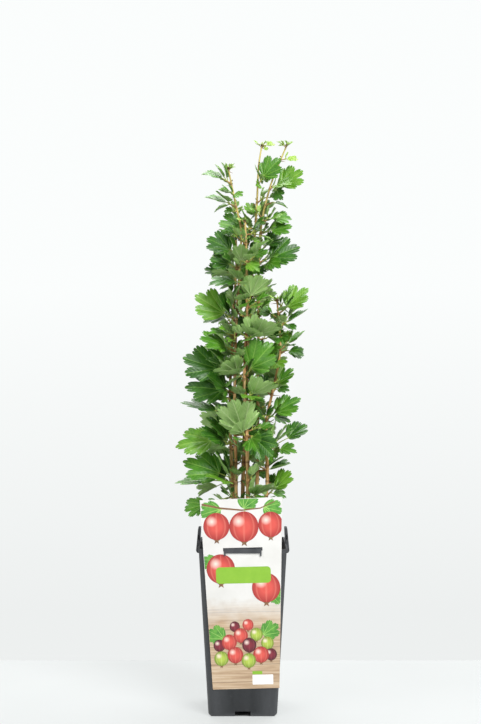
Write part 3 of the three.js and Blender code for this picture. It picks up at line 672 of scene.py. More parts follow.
def fit_leaves(shoots, tries, turns, from_stem, within, between, stalks=False):
    """Gives the shoots leaves, the foremost of every shoot first, and tells which shoots have any.

    turns says how far the first leaf and the others may turn aside: their degrees at the first try, and how
    many more at each later one. Where stalks is set, they fill the space too. A leaf with no room is skipped.
    """
    for order in range(len(FAN)):
        first, more = turns[min(order, len(turns) - 1)]
        for shoot in shoots:
            for attempt in range(tries if order < shoot.leaves else 0):
                leaf = Leaf(shoot, order, attempt, first + more * attempt)
                blade, stalk = leaf.samples()
                away = np.sqrt(((stalk - shoot.foot) ** 2).sum(1))
                if not in_open_space(blade, stalk[away >= ROOT_ROOM["stems"]], from_stem):
                    continue
                tested = np.vstack([blade, stalk[away > ROOT_ROOM["leaves"]]]) if stalks else blade
                if CROWD.clear(tested, shoot, within, between):
                    CROWD.add(np.vstack([blade, stalk]) if stalks else blade, shoot)
                    shoot.placed.append(leaf)
                    break
    return [shoot for shoot in shoots if shoot.placed]


GOLDEN_ANGLE = 137.5
FILL_LOW, FILL_HIGH = 236.0, 640  # heights between which the stems carry small shoots as well


def fill_shoots():
    """Short shoots with small leaves along the stems, each a golden angle round from the last."""
    dice, made = Dice(77), []
    for name, stem in STEM_LIST.items():
        z = FILL_LOW
        while z < min(stem.top - 6, FILL_HIGH):
            leaf = dice.between(13, 25) * (1 if z < 560 else 0.8)
            reach = leaf + dice.between(8, 22)
            row = (GOLDEN_ANGLE * len(made) % 360, dice.between(5, 50), reach, leaf, dice.between(10, 60), 4)
            made.append(Shoot("inner", 500 + len(made), name, z, *row))
            z += dice.between(9, 15) * (1.9 if z < 330 else 1.5 if z > 580 else 1)
    return made


def tip_shoots():
    """A tuft of tiny leaves round each stem's tip."""
    places = [(name, STEM_LIST[name].top - 3, bearing) for name in STEM_LIST for bearing in (70, 190, 310)]
    return [Shoot("inner", 900 + i, *place, 42, 13, 7, 30, 3) for i, place in enumerate(places)]


def zones():
    """The shoots by the side of the bush that they dress, with the small ones as a zone of their own."""
    fit_leaves(SHOOT_LIST, 30, [(2, 0.8), (10, 1.5)], from_stem=2, within=2.5, between=3.3, stalks=True)
    made = {zone: [] for zone in ("left", "right", "front", "lead", "back")}
    for shoot in SHOOT_LIST:
        made[shoot.zone].append(shoot)
    made["inner"] = fit_leaves(fill_shoots(), 10, [(14, 6)], from_stem=1.2, within=2.2, between=2.6)
    made["inner"] += fit_leaves(tip_shoots(), 10, [(14, 6)], from_stem=0.6, within=0.8, between=1.4)
    return made


ZONES = zones()

# ---- Meshes ----


class Sheaf:
    """Points and faces gathered for one piece, with a material for each face."""

    def __init__(self):
        self.points, self.plans, self.faces, self.slots, self.count = [], [], [], [], 0

    def add(self, points, faces, slot, plan=None):
        """points in millimetres, faces as index lists, slot one material key or one for each face.

        plan, where a material reads it, is each point's place on its own flat plan.
        """
        self.points.append(np.asarray(points, float))
        self.plans.append(np.zeros((len(points), 2)) if plan is None else plan)
        self.faces += [[i + self.count for i in face] for face in faces]
        self.slots += [slot] * len(faces) if isinstance(slot, str) else slot
        self.count += len(points)

    def piece(self, name, sharp=70):
        keys = sorted(set(self.slots))
        mesh = plain_mesh(name, (np.vstack(self.points) * MM).tolist(), faces=self.faces)
        for key in keys:
            mesh.materials.append(MATERIALS[key])
        mesh.polygons.foreach_set("material_index", [keys.index(slot) for slot in self.slots])
        plan = np.hstack([np.vstack(self.plans), np.zeros((self.count, 1))])
        give(mesh, "plan", plan.ravel(), "FLOAT_VECTOR")
        mesh.shade_smooth()
        mesh.set_sharp_from_angle(angle=math.radians(sharp))
        return shown(name, mesh)


# ---- Leaves ----

# The lobes' smooth edge round the leaf's foot: (degrees from the midrib, reach as a share of the length).
LOBE_EDGE = [
    (0, 0.97), (5, 0.955), (9, 0.905), (12, 0.835), (14, 0.775), (16.5, 0.815), (20, 0.865), (26, 0.885),
    (32, 0.865), (38, 0.8), (42, 0.715), (44.5, 0.64), (48, 0.635), (54, 0.615), (60, 0.565), (67, 0.46),
    (77, 0.29), (88, 0.12),
]
# Where the blade's rays run, in degrees from the midrib. A tooth fills the rim between two neighbours.
RAYS = [4.3, 14, 20.3, 27.2, 34.6, 44.5, 52, 60.5, 73, 88]
TOOTH = 0.056  # how far a tooth stands out of the lobes' edge
NOTCH = 0.03  # how far the notch between two teeth is cut into it
TOOTH_STEPS = [(0.16, 0.55), (0.36, 0.92), (0.6, 1.0), (0.84, 0.7)]  # a rim's shares of width and height
SMOOTH_FROM = 60  # degrees from the midrib: nearer the foot, the margin has no teeth
RINGS = (0.3, 0.56, 0.8)  # the blade's inner rings, as shares of the way to its edge
MAIN_VEINS = [(VEIN_STEP * n, (0.93, 0.84, 0.52)[abs(n)]) for n in (0, 1, -1, 2, -2)]
LOBE_WIDE, PLEAT_WIDE, CUT_WIDE = 12, 4.5, 3.6  # degrees that each reaches round its vein or its sinus
THICK = 0.42  # of the blade at its foot
RIM_THICK = 0.12
HIGH_UP = 600  # mm: leaves above it get the bright green, which is partly painted glow, more often, and thorns are shorter


def edge_reach(degrees):
    return np.interp(abs(degrees), *zip(*LOBE_EDGE))


def thickness(leaf, reaches):
    """Half the blade's thickness, as a share of its length."""
    return THICK / 2 / leaf.length * (1 - 0.45 * reaches)


class Blade:
    """The plan of a blade: its rings and its toothed rim in angles and reaches, and its faces."""

    def __init__(self, half, rings, teeth):
        rays = [-ray for ray in reversed(half)] + half
        points = [(0, 0)] + [(ray, ring * edge_reach(ray)) for ring in rings for ray in rays]
        self.inner = len(points)
        points.append((rays[0], edge_reach(rays[0])))
        for a, b in zip(rays, rays[1:]):
            tall = 0 if max(-a, b) > SMOOTH_FROM + 1 else TOOTH * min(1.1, (b - a) / 8)
            for share, out in teeth if b > 0 else [(1 - share, out) for share, out in reversed(teeth)]:
                angle = a + (b - a) * share
                points.append((angle, edge_reach(angle) + tall * out))
            points.append((b, edge_reach(b) - (NOTCH if abs(b) < SMOOTH_FROM else 0)))
        self.angles, self.reaches = np.array(points).T
        self.faces(range(1, self.inner, len(rays)), len(rays), len(teeth) + 1)

    def faces(self, starts, count, step):
        """The shell's faces: the upper sheet, the lower one under it, and the band round the edge."""
        total, half, upper = len(self.angles), step // 2, []
        for i in range(count - 1):
            ring = [start + i for start in starts]
            upper.append([0, ring[0], ring[0] + 1])
            for a, b in zip(ring, ring[1:]):
                upper += [[a, b, b + 1], [a, b + 1, a + 1]]
            first, low, high = self.inner + step * i, ring[-1], ring[-1] + 1
            upper += [[low, first + k, first + k + 1] for k in range(half)]
            upper.append([low, first + half, high])
            upper += [[high, first + k, first + k + 1] for k in range(half, step)]
        edge = [0, *starts, *range(self.inner, total), *[start + count - 1 for start in reversed(starts)]]
        self.upper = upper
        self.lower = [[k + total for k in reversed(face)] for face in upper]
        self.lower += band([k + total for k in edge], edge)


FULL_BLADE = Blade(RAYS, RINGS, TOOTH_STEPS)
SMALL_BLADE = Blade([5, 14, 24, 34, 44.5, 60, 88], (0.55,), [(0.25, 0.75), (0.6, 1.0)])


class Relief:
    """How one blade departs from the plain leaf: lobes longer or shorter, curled, pleated and rippled."""

    def __init__(self, dice):
        draw = dice.between
        self.lobes = [(angle, draw(-0.07, 0.05), draw(-0.11, 0.06)) for angle, _ in MAIN_VEINS]
        self.waves = [(draw(6, 9), draw(0, 6.3), draw(0.004, 0.014))]
        self.waves.append((draw(2.5, 4.5), draw(0, 6.3), draw(0.01, 0.035)))
        self.pleat = draw(0.03, 0.06)
        self.cuts = [(angle, draw(-0.04, 0.14)) for angle in (14, -14, 44.5, -44.5)]

    def lay(self, angles, reaches):
        """Where points of the plain plan come to lie along and across the leaf, and their lift."""
        grow, lift = 1.0, 0.0
        for count, phase, depth in self.waves:
            lift = lift + depth * np.sin(np.radians(angles) * count + phase) * reaches**2
        for vein, longer, curl in self.lobes:
            near = hump(angles, vein, LOBE_WIDE)
            grow = grow + longer * near
            pleat = self.pleat * np.sin(np.clip(reaches, 0, 1) * math.pi) * hump(angles, vein, PLEAT_WIDE)
            lift = lift + curl * reaches**3 * near - pleat
        for sinus, cut in self.cuts:
            grow = grow - cut * hump(angles, sinus, CUT_WIDE) * np.clip(reaches * 1.6, 0, 1)
        a, reaches = np.radians(angles), reaches * grow
        return reaches * np.cos(a), reaches * np.sin(a), lift


def add_blade(sheaf, leaf, dice, upper, under, plan):
    """A leaf's blade: a thin closed shell with lobes and teeth, and a full one's raised main veins."""
    relief = Relief(dice)
    u, v, lift = relief.lay(plan.angles, plan.reaches)
    half = thickness(leaf, plan.reaches)
    half[plan.inner :] = RIM_THICK / 2 / leaf.length
    points = np.vstack([leaf.blade(u, v, lift + half), leaf.blade(u, v, lift - half)])
    slots = [upper] * len(plan.upper) + [under] * len(plan.lower)
    sheaf.add(points, plan.upper + plan.lower, slots, np.tile(np.stack([u, v], 1), (2, 1)))
    if plan is FULL_BLADE:
        add_veins(sheaf, leaf, relief, upper)


def add_veins(sheaf, leaf, relief, upper, steps=5):
    """Tapering ridges along the main veins, low above the blade and prouder below."""
    faces = [[0, 1, 2], [3 * steps - 1, 3 * steps - 2, 3 * steps - 3]]
    for a, b in [(3 * k, 3 * k + 3) for k in range(steps - 1)]:
        faces += [[a, b, b + 1, a + 1], [a + 1, b + 1, b + 2, a + 2], [a + 2, b + 2, b, a]]
    taper = (1 - 0.75 * np.linspace(0, 1, steps)) / leaf.length
    for angle, reach in MAIN_VEINS:
        r = reach * np.linspace(0.02, 1, steps)
        u, v, lift = relief.lay(angle, r)
        aside = (-math.sin(math.radians(angle)), math.cos(math.radians(angle)))
        for side, width, proud, slot in ((1, 0.4, 0.2, "vein"), (-1, 0.6, 0.42, "vein_under")):
            lines = []
            for across, out in ((-1, -0.1), (0, proud), (1, -0.1)):
                shift = across * width * taper
                # The blade folds up both ways from the midrib, and a ridge keeps its own line's level.
                level = leaf.fold * (np.abs(v) - np.abs(v + aside[1] * shift))
                height = lift + side * (thickness(leaf, r) + out * taper) + level
                lines.append(leaf.blade(u + aside[0] * shift, v + aside[1] * shift, height))
            points = np.stack(lines, 1).reshape(-1, 3)
            sheaf.add(points, [face[::-side] for face in faces], "young_under" if upper == "young" else slot)


def leaf_tint(shoot, leaf, dice):
    """The greens of a leaf's two faces: youngest at the tips, and deep, middling or bright elsewhere."""
    if shoot.name in ("lead_tip", "right_n") or leaf.length < 10:
        return "young", "young_under"
    chance = dice.next()
    # Leaves high up get the bright green, partly painted glow, more often.
    if leaf.foot[2] > HIGH_UP and chance < 0.2:
        return "bright", "under"
    return "deep" if chance < 0.44 else "mid" if chance < 0.86 else "bright", "under"


def foliage(zone, shoots):
    """A zone's leaf blades as one piece, small and plain ones in the inner zone."""
    plan, nodes = FULL_BLADE, [f"leaves_{shoot.name}" for shoot in shoots]
    if zone == "inner":
        plan, nodes = SMALL_BLADE, []
    sheaf = Sheaf()
    for shoot in shoots:
        for leaf in shoot.placed:
            dice = Dice(shoot.seed * 211 + leaf.order * 17 + 5)
            add_blade(sheaf, leaf, dice, *leaf_tint(shoot, leaf, dice), plan)
    settle(sheaf.piece(f"foliage_{zone}"), "foliage", *nodes)


for zone, shoots in ZONES.items():
    foliage(zone, shoots)

# ---- Geometry Nodes ----


class Growth(Nodes):
    """A Geometry Nodes tree, with a named input for each default and of its kind."""

    def __init__(self, name, **defaults):
        super().__init__(bpy.data.node_groups.new(name, "GeometryNodeTree"))
        sockets, self.ids = self.tree.interface, {}
        sockets.new_socket("Geometry", in_out="OUTPUT", socket_type="NodeSocketGeometry")
        for key, value in {"Geometry": None, "Material": None, **defaults}.items():
            kind = {int: "Int", float: "Float"}.get(type(value), key)
            socket = sockets.new_socket(key, in_out="INPUT", socket_type=f"NodeSocket{kind}")
            if value is not None:
                socket.default_value = value
            self.ids[key] = socket.identifier
        self.given = self.tree.nodes.new("NodeGroupInput").outputs

    def attribute(self, name, kind="FLOAT"):
        return self.add("GeometryNodeInputNamedAttribute", {"Name": name}, data_type=kind)

    def strew(self, points, instance, rotation, scale):
        inputs = {"Points": points, "Instance": instance, "Rotation": rotation, "Scale": scale}
        return self.add("GeometryNodeInstanceOnPoints", inputs)

    def finish(self, geometry, smooth=True):
        if smooth:
            geometry = self.add("GeometryNodeSetShadeSmooth", {"Geometry": geometry})
        real = self.add("GeometryNodeRealizeInstances", {"Geometry": geometry})
        skin = self.add("GeometryNodeSetMaterial", {"Geometry": real, "Material": self.given["Material"]})
        self.join(skin, self.tree.nodes.new("NodeGroupOutput").inputs[0])
        return self


def tube_tree():
    """A tube along a line of points whose radius is in the attribute thick, with ridges along its skin."""
    tree = Growth("tube_along_line", Sides=8, Ridge=0.0, Stretch=0.08, Scale=900.0)
    add, given = tree.add, tree.given
    line = add("GeometryNodeMeshToCurve", {"Mesh": given["Geometry"]})
    ring = add("GeometryNodeCurvePrimitiveCircle", {"Resolution": given["Sides"], "Radius": 1.0})
    inputs = {"Curve": line, "Profile Curve": ring, "Scale": tree.attribute("thick"), "Fill Caps": True}
    tube = add("GeometryNodeCurveToMesh", inputs)
    squeeze = {0: add("GeometryNodeInputPosition"), 1: tree.vector(1.0, 1.0, given["Stretch"])}
    scaled = add("ShaderNodeVectorMath", squeeze, operation="MULTIPLY")
    grain = add("ShaderNodeTexNoise", {"Vector": scaled, "Scale": given["Scale"], "Detail": 3.0})
    depth = tree.calc("MULTIPLY", tree.calc("SUBTRACT", grain, 0.5), given["Ridge"])
    normal = add("GeometryNodeInputNormal")
    offset = add("ShaderNodeVectorMath", {0: normal, "Scale": depth}, operation="SCALE")
    return tree.finish(add("GeometryNodeSetPosition", {"Geometry": tube, "Offset": offset}))


def thorn_tree():
    """A slim thorn at each point, along its attribute aim and as long as its reach."""
    tree = Growth("thorn_at_points", Radius=0.5 * MM)
    cone = {"Vertices": 5, "Side Segments": 2, "Radius Top": 0.03 * MM, "Depth": 1.0}
    cone = tree.add("GeometryNodeMeshCone", {**cone, "Radius Bottom": tree.given["Radius"]})
    aim = {"Vector": tree.attribute("aim", "FLOAT_VECTOR")}
    turn = tree.add("FunctionNodeAlignRotationToVector", aim, axis="Z")
    dots = tree.add("GeometryNodeMeshToPoints", {"Mesh": tree.given["Geometry"]})
    return tree.finish(tree.strew(dots, cone, turn, tree.vector(1.0, 1.0, tree.attribute("reach"))))


def crumb_tree():
    """Crumbs strewn over a surface, each a turned and scaled lump."""
    tree = Growth("crumbs_on_surface", Density=4e4, Smallest=0.5 * MM, Largest=2.0 * MM, Stretch=1.0, Seed=3)
    add, given, seed = tree.add, tree.given, tree.given["Seed"]
    ground = {"Mesh": given["Geometry"], "Density": given["Density"], "Seed": seed}
    dots = add("GeometryNodeDistributePointsOnFaces", ground)
    crumb = add("GeometryNodeMeshIcoSphere", {"Radius": 1.0, "Subdivisions": 1})
    turns = {0: (0, 0, 0), 1: (6.283, 6.283, 6.283), "Seed": seed}
    turn = add("FunctionNodeRandomValue", turns, data_type="FLOAT_VECTOR")
    sizes = {2: given["Smallest"], 3: given["Largest"], "Seed": seed}
    size = add("FunctionNodeRandomValue", sizes, 1, data_type="FLOAT")
    shape = tree.vector(tree.calc("MULTIPLY", size, given["Stretch"]), size, size)
    return tree.finish(tree.strew(dots, crumb, turn, shape), smooth=False)


TUBE, THORN, CRUMBS = tube_tree(), thorn_tree(), crumb_tree()


def grown(name, mesh, tree, key, **values):
    """A piece made by a Geometry Nodes tree from a plain mesh."""
    made = shown(name, mesh)
    modifier = made.modifiers.new("grow", "NODES")
    modifier.node_group = tree.tree
    for label, value in {"Material": MATERIALS[key], **values}.items():
        modifier[tree.ids[label]] = value
    depsgraph = bpy.context.evaluated_depsgraph_get()
    depsgraph.update()
    result = bpy.data.meshes.new_from_object(made.evaluated_get(depsgraph))
    made.modifiers.clear()
    made.data = result
    result.name = name
    return made


def tubes(name, lines, key, marks=None, **values):
    """A piece of tubes along [(points in mm, radii in mm)], with marks as the attribute joint."""
    points, edges, thick = [], [], []
    for path, radii in lines:
        edges += [(len(points) + i, len(points) + i + 1) for i in range(len(path) - 1)]
        points += [tuple(p * MM) for p in path]
        thick += [r * MM for r in radii]
    mesh = plain_mesh(name, points, edges)
    give(mesh, "thick", thick)
    if marks:
        give(mesh, "joint", marks)
    return grown(name, mesh, TUBE, key, **values)


# ---- Stems, spurs, stalks, thorns and buds ----

FIRST_JOINT, LAST_JOINT = 8, 2  # mm from a stem's foot and from its tip
LEAST_BARE, LONGEST_BARE = 4, 26  # mm of a stem between two joints


def joint_of(shoot):
    """The height of the joint that a shoot roots in."""
    return min(shoot.foot[2], shoot.stem.top - LAST_JOINT)


def stem_nodes(stem):
    """The heights of a stem's leaf joints: where its shoots root, and one wherever a long gap is left."""
    heights = sorted(joint_of(shoot) for shoot in SHOOT_LIST if shoot.stem is stem)
    joints, last = [], stem.low + FIRST_JOINT
    for height in [*heights, stem.top - LAST_JOINT]:
        extra = int((height - last) // LONGEST_BARE)
        joints += [last + (height - last) * (i + 1) / (extra + 1) for i in range(extra)]
        if height - last > LEAST_BARE:
            joints.append(height)
        last = height
    return joints


def stem_tube(name, stem):
    """A stem's bark, swollen and marked at its leaf joints."""
    joints = np.array(stem_nodes(stem))
    heights = [*np.arange(stem.low, stem.top, 1.6), stem.top]
    radii = [stem.radius(z) * (1 + 0.24 * sum(hump(z, joints, 1.9))) for z in heights]
    radii[-1] *= 0.6
    marks = [min(0.85, 0.8 * sum(hump(z, joints, 1.3))) for z in heights]
    lines = [([stem.at(z) for z in heights], radii)]
    piece = tubes(f"bark_{name}", lines, "bark", marks, Sides=12, Ridge=0.5 * MM, Stretch=0.09, Scale=1100.0)
    settle(piece, "bark", f"stem_{name}")


def spur_line(shoot):
    """A shoot's short spur, ringed with old scars and closed at its end."""
    root = shoot.foot + shoot.out * (shoot.stem_radius * 0.6)
    end = shoot.foot + shoot.out * (shoot.stem_radius + CLEAR + SPUR_LENGTH * shoot.scale + 0.8)
    shares = [i / 9 for i in range(10)]
    radii = [(1.15 - 0.35 * t) * shoot.scale * (1 + 0.12 * math.sin(t * 24)) for t in shares]
    radii[-1] *= 0.55
    return [root + (end - root) * t for t in shares], radii


def stalk_line(leaf):
    """A leaf's stalk, a little bowed, wider at both ends, and running out into the midrib."""
    bow = Dice(leaf.shoot.seed * 131 + leaf.order * 7).between(0.2, 0.9)
    span, shares = leaf.foot - leaf.start, np.linspace(0, 1, 8)
    aside = unit(np.cross(span, leaf.across))
    path = [leaf.start + span * t + aside * (bow * math.sin(math.pi * t)) for t in shares]
    path.append(leaf.blade([min(0.06, 2.5 / leaf.length)], [0.0])[0])
    thin = (0.55 + 0.2 * leaf.shoot.scale) * 0.85
    radii = [thin * (1.35 - 0.55 * t + 0.5 * max(0, 1 - 8 * t) + 1.2 * max(0, t - 0.85)) for t in shares]
    return path, [*radii, 0.22]


def twigs(zone, shoots):
    """A zone's spurs as one piece and its leaf stalks as another."""
    spurs = [spur_line(shoot) for shoot in shoots]
    stalks = [stalk_line(leaf) for shoot in shoots for leaf in shoot.placed]
    piece = tubes(f"spurs_{zone}", spurs, "spur", Sides=8, Ridge=0.3 * MM, Stretch=0.6, Scale=900.0)
    settle(piece, "bark")
    piece = tubes(f"stalks_{zone}", stalks, "stalk", Sides=6, Ridge=0.0, Stretch=1.0, Scale=500.0)
    settle(piece, "foliage")


def thorns():
    """Three thorns below each leaf joint, the middle one the longest, with some of the others missing."""
    points, aims, reaches = [], [], []
    dice = Dice(4242)
    for stem in STEM_LIST.values():
        for z in stem_nodes(stem):
            facing = dice.between(0, 360)
            for shoot in SHOOT_LIST:
                if shoot.stem is stem and abs(joint_of(shoot) - z) < 1:
                    facing = shoot.bearing
            long = dice.between(6.5, 10.5) * (1 if z < HIGH_UP else 0.7)
            for turn, share in ((0, 1), (-52, 0.66), (52, 0.66)):
                if share < 1 and dice.next() < 0.35:
                    continue
                aims += list(heading(facing + turn, dice.between(-24, 6)))
                root = stem.at(z - 1.6) + heading(facing + turn, 0) * (stem.radius(z) * 0.8)
                points.append(tuple(root * MM))
                reaches.append(long * share * MM)
    mesh = plain_mesh("thorns", points)
    give(mesh, "aim", aims, "FLOAT_VECTOR")
    give(mesh, "reach", reaches)
    settle(grown("thorns", mesh, THORN, "spine", Radius=0.55 * MM), "bark")


def bud_points(foot, along, radius, length):
    """A pointed bud: rings of eight points that swell and close, with a twist of ridges for its scales."""
    aside = unit(np.cross(along, np.array([1.0, 0.2, 0.1])))
    other = np.cross(along, aside)
    points = []
    for i, girth in enumerate((0.75, 1.0, 0.92, 0.66, 0.34)):
        for j in range(8):
            a, r = math.pi * j / 4 + 0.5 * i, radius * girth * (1 + 0.12 * (-1) ** (i + j))
            points.append(foot + along * (length * i / 5) + (aside * math.cos(a) + other * math.sin(a)) * r)
    return [*points, foot + along * length]


def buds():
    """A bud at the tip of each stem and a small one in the angle above each leaf joint."""
    faces = loft(5, 8)[:-1] + [[32 + j, 32 + (j + 1) % 8, 40] for j in range(8)]
    slots = ["bud"] * 24 + ["bud_tip"] * 8 + ["bud"] + ["bud_tip"] * 8
    dice, sheaf = Dice(909), Sheaf()
    for stem in STEM_LIST.values():
        tip = stem.at(stem.top)
        along = unit(tip - stem.at(stem.top - 8))
        sheaf.add(bud_points(tip - along * 1.2, along, stem.tip * 1.75, 5.5), faces, slots)
        for z in stem_nodes(stem)[:-1]:
            lean = heading(dice.between(0, 360), 52)
            foot = stem.at(z + 2.6) + lean * (stem.radius(z) * 0.7)
            sheaf.add(bud_points(foot, lean, dice.between(0.7, 1.0), dice.between(3, 4.2)), faces, slots)
    settle(sheaf.piece("buds", 50), "bark")


for name, stem in STEM_LIST.items():
    stem_tube(name, stem)
for zone, shoots in ZONES.items():
    twigs(zone, shoots)
thorns()
buds()

# ---- Woody crown and compost ----


def woody_crown():
    """The knobbly foot of the bush: lobed round the stems, with old bark, and closed over by a low dome."""
    foot, levels, rings = COMPOST_TOP + CLEAR - 1.2, 14, []
    for t in [i / levels for i in range(levels + 1)]:
        z = foot + (CROWN_TOP + 1.2 - foot) * t
        radius = np.interp(t, [0, 0.3, 0.8, 1], [15, 12.8, 11.8, 10.6])
        ring = []
        for a in [2 * math.pi * j / 48 for j in range(48)]:
            x, y = math.cos(a), math.sin(a)
            rough = 0.1 * lump(x, y, z * 0.25, 3) + 0.05 * lump(x, y, z * 0.6, 9)
            r = radius * (1 + 0.05 * math.cos(6 * a - math.pi) * t + rough)
            ring.append([r * x, r * y, z])
        rings.append(np.array(ring))
    for share in (0.93, 0.84, 0.72, 0.58, 0.42, 0.25, 0.1):
        ring = rings[levels] * (share, share, 1)
        for point in ring:
            knob = lump(point[0], point[1], 4.2, 0.35)
            point[2] += 0.9 * (1 - share) + 1.1 * knob * min(1, (1 - share) * 6)
        rings.append(ring)
    sheaf = Sheaf()
    sheaf.add(np.vstack(rings), loft(len(rings), 48), "crown")
    settle(sheaf.piece("crown_bark", 60), "bark", "woody_crown")


def inside_half(z):
    """Half the width of the compost at a height inside the pot."""
    rise = (POT["rim_half"] - POT["foot_half"]) * z / POT["height"]
    return POT["foot_half"] + rise - POT["wall"] - CLEAR


def rounded(x, y, half, corner):
    """A point of a square with its corner pulled in to a rounded one."""
    ax, ay = abs(x) - (half - corner), abs(y) - (half - corner)
    if ax > 0 and ay > 0 and math.hypot(ax, ay) > corner:
        shrink = corner / math.hypot(ax, ay)
        x = math.copysign(half - corner + ax * shrink, x)
        y = math.copysign(half - corner + ay * shrink, y)
    return x, y


def compost():
    """The compost's lumpy top, its tapering sides and its level foot, then loose crumbs on the top."""
    steps, low = 56, POT["floor"] + CLEAR
    half, corner = inside_half(COMPOST_TOP), POT["corner"] - POT["wall"] - CLEAR
    points, places = [], [half * (2 * i / steps - 1) for i in range(steps + 1)]
    for x, y in itertools.product(places, places):
        x, y = rounded(x, y, half, corner)
        height = lump(x, y, 1.3, 0.12) * 1.3 + lump(x, y, 7.1, 0.45) * 0.9
        points.append([x, y, COMPOST_TOP - 1.6 + height])
    row, top = steps + 1, len(points)
    starts = [i * row + j for i in range(steps) for j in range(steps)]
    tiles = [[a, a + row, a + row + 1, a + 1] for a in starts]
    rim = [*range(0, top - row, row), *range(top - row, top - 1)]
    rim += [*range(top - 1, steps, -row), *range(steps, 0, -1)]
    share = inside_half(low) / half
    foot = [[points[k][0] * share, points[k][1] * share, low] for k in rim]
    base = list(range(top, top + len(rim)))
    sheaf = Sheaf()
    sheaf.add(points + foot, [*tiles, *band(base, rim), base[::-1]], "compost")
    settle(sheaf.piece("compost_bed", 60), "compost", "compost")
    points = [[x * 0.97 * MM, y * 0.97 * MM, z * MM] for x, y, z in points]
    ground = plain_mesh("crumb_ground", points, faces=tiles)
    for name, key, density, least, most, long, seed in (
        ("crumbs_fine", "crumb", 90000.0, 0.35, 1.1, 1.0, 3),
        ("crumbs_coarse", "compost", 14000.0, 1.0, 2.2, 1.3, 8),
        ("fibres", "fibre", 9000.0, 0.25, 0.4, 9.0, 15),
    ):
        values = {"Density": density, "Smallest": least * MM, "Largest": most * MM, "Stretch": long}
        settle(grown(name, ground.copy(), CRUMBS, key, Seed=seed, **values), "compost")


woody_crown()
compost()

# ---- Pot ----


def pot():
    """The pot's own shape, merged into one surface, with its flat faces joined and smooth shading over its
    rounded corners.
    """
    shell = bmesh.new()
    shell.from_mesh(frame["nodes"]["pot"].data)
    bmesh.ops.remove_doubles(shell, verts=shell.verts, dist=1e-6)
    bmesh.ops.dissolve_limit(shell, angle_limit=math.radians(1), verts=shell.verts, edges=shell.edges)
    mesh = bpy.data.meshes.new("pot_shell")
    shell.to_mesh(mesh)
    shell.free()
    mesh.materials.append(MATERIALS["pot"])
    mesh.shade_smooth()
    mesh.set_sharp_from_angle(angle=math.radians(25))
    settle(shown("pot_shell", mesh), "pot_plastic", "pot")


pot()

# ---- Label ----

INK = 0.03  # thickness of one printed layer


def card_place():
    """The turn and shift from the flat card to where it hangs."""
    up = Matrix.Translation((0, CARD["slot_up"], 0))
    down = Matrix.Translation((0, -CARD["slot_up"], 0))
    hung = Matrix.Translation((0, CARD["foot_y"], CARD["foot_z"]))
    lean = Matrix.Rotation(math.radians(90 + CARD["tilt"]), 4, "X")
    return hung @ lean @ up @ Matrix.Rotation(math.radians(CARD["turn"]), 4, "Z") @ down


CARD_PLACE = np.array(card_place())


def cut_to_card(outline, inset=0.4):
    """The part of an outline, counter-clockwise, that lies on the card."""
    corners = CARD["corners"]
    for (ax, ay), (bx, by) in zip(corners, corners[1:] + corners[:1]):
        long = math.hypot(bx - ax, by - ay)
        depths = [((bx - ax) * (y - ay) - (by - ay) * (x - ax)) / long - inset for x, y in outline]
        kept = []
        for p, q, here, there in zip(outline, outline[1:] + outline[:1], depths, depths[1:] + depths[:1]):
            if here >= 0:
                kept.append(p)
            if here * there < 0:
                t = here / (here - there)
                kept.append((p[0] + (q[0] - p[0]) * t, p[1] + (q[1] - p[1]) * t))
        outline = kept
    return outline


class Print(Sheaf):
    """Flat printed shapes on the card's front, each a thin closed slab with a plan round its own middle."""

    def shape(self, outline, slot, layer, middle=(0.0, 0.0), size=1.0):
        outline = cut_to_card(outline)
        low = CARD["thick"] + layer * INK
        flat = np.array([(x, y, z, 1.0) for z in (low, low + INK) for x, y in outline])
        plan = (flat[:, :2] - middle) / size
        self.add((flat @ CARD_PLACE.T)[:, :3], loft(2, len(outline)), slot, plan)

    def berry(self, x, y, radius, slot, layer):
        """A berry, with the dry flower that hangs from its end behind it."""
        end, reaches = y - radius * 1.04, [radius * 0.3, radius * 0.126] * 5
        flower = [round_from(x, end, r, math.pi * j / 5 + 0.3) for j, r in enumerate(reaches)]
        self.shape(flower, "ink_twig", layer)
        ring = [math.pi * j / 20 for j in range(40)]
        outline = [(x + radius * 0.95 * math.cos(a), y + radius * math.sin(a)) for a in ring]
        self.shape(outline, slot, layer + 1, (x, y), radius)

    def line(self, path, wide, slot, layer):
        """A stroke that thins out along its path."""
        path = np.array(path, float)
        along = np.gradient(path, axis=0)
        half = wide / 2 * np.linspace(1, 0.4, len(path)) / np.hypot(*along.T)
        aside = along[:, ::-1] * (-1, 1) * half[:, None]
        self.shape([*(path - aside).tolist(), *(path + aside)[::-1].tolist()], slot, layer)

    def leaf(self, x, y, size, turn):
        """A lobed leaf by its foot, its length and the bearing of its midrib, with its main veins."""

        def at(angle, reach):
            return round_from(x, y, size * reach, math.radians(turn + angle))

        rim = zip(FULL_BLADE.angles[FULL_BLADE.inner :], FULL_BLADE.reaches[FULL_BLADE.inner :])
        self.shape([at(0, 0)] + [at(*point) for point in rim], "ink_leaf", 0)
        for angle, reach in MAIN_VEINS:
            self.line([at(angle, reach * t) for t in (0.03, 0.4, 0.75, 1)], size * 0.03, "ink_vein", 1)

    def panel(self, low, high, corner, slot, layer):
        outline = []
        for side in range(4):
            cx = high[0] - corner if side in (0, 3) else low[0] + corner
            cy = high[1] - corner if side < 2 else low[1] + corner
            outline += [round_from(cx, cy, corner, math.pi / 2 * (side + i / 6)) for i in range(7)]
        self.shape(outline, slot, layer)


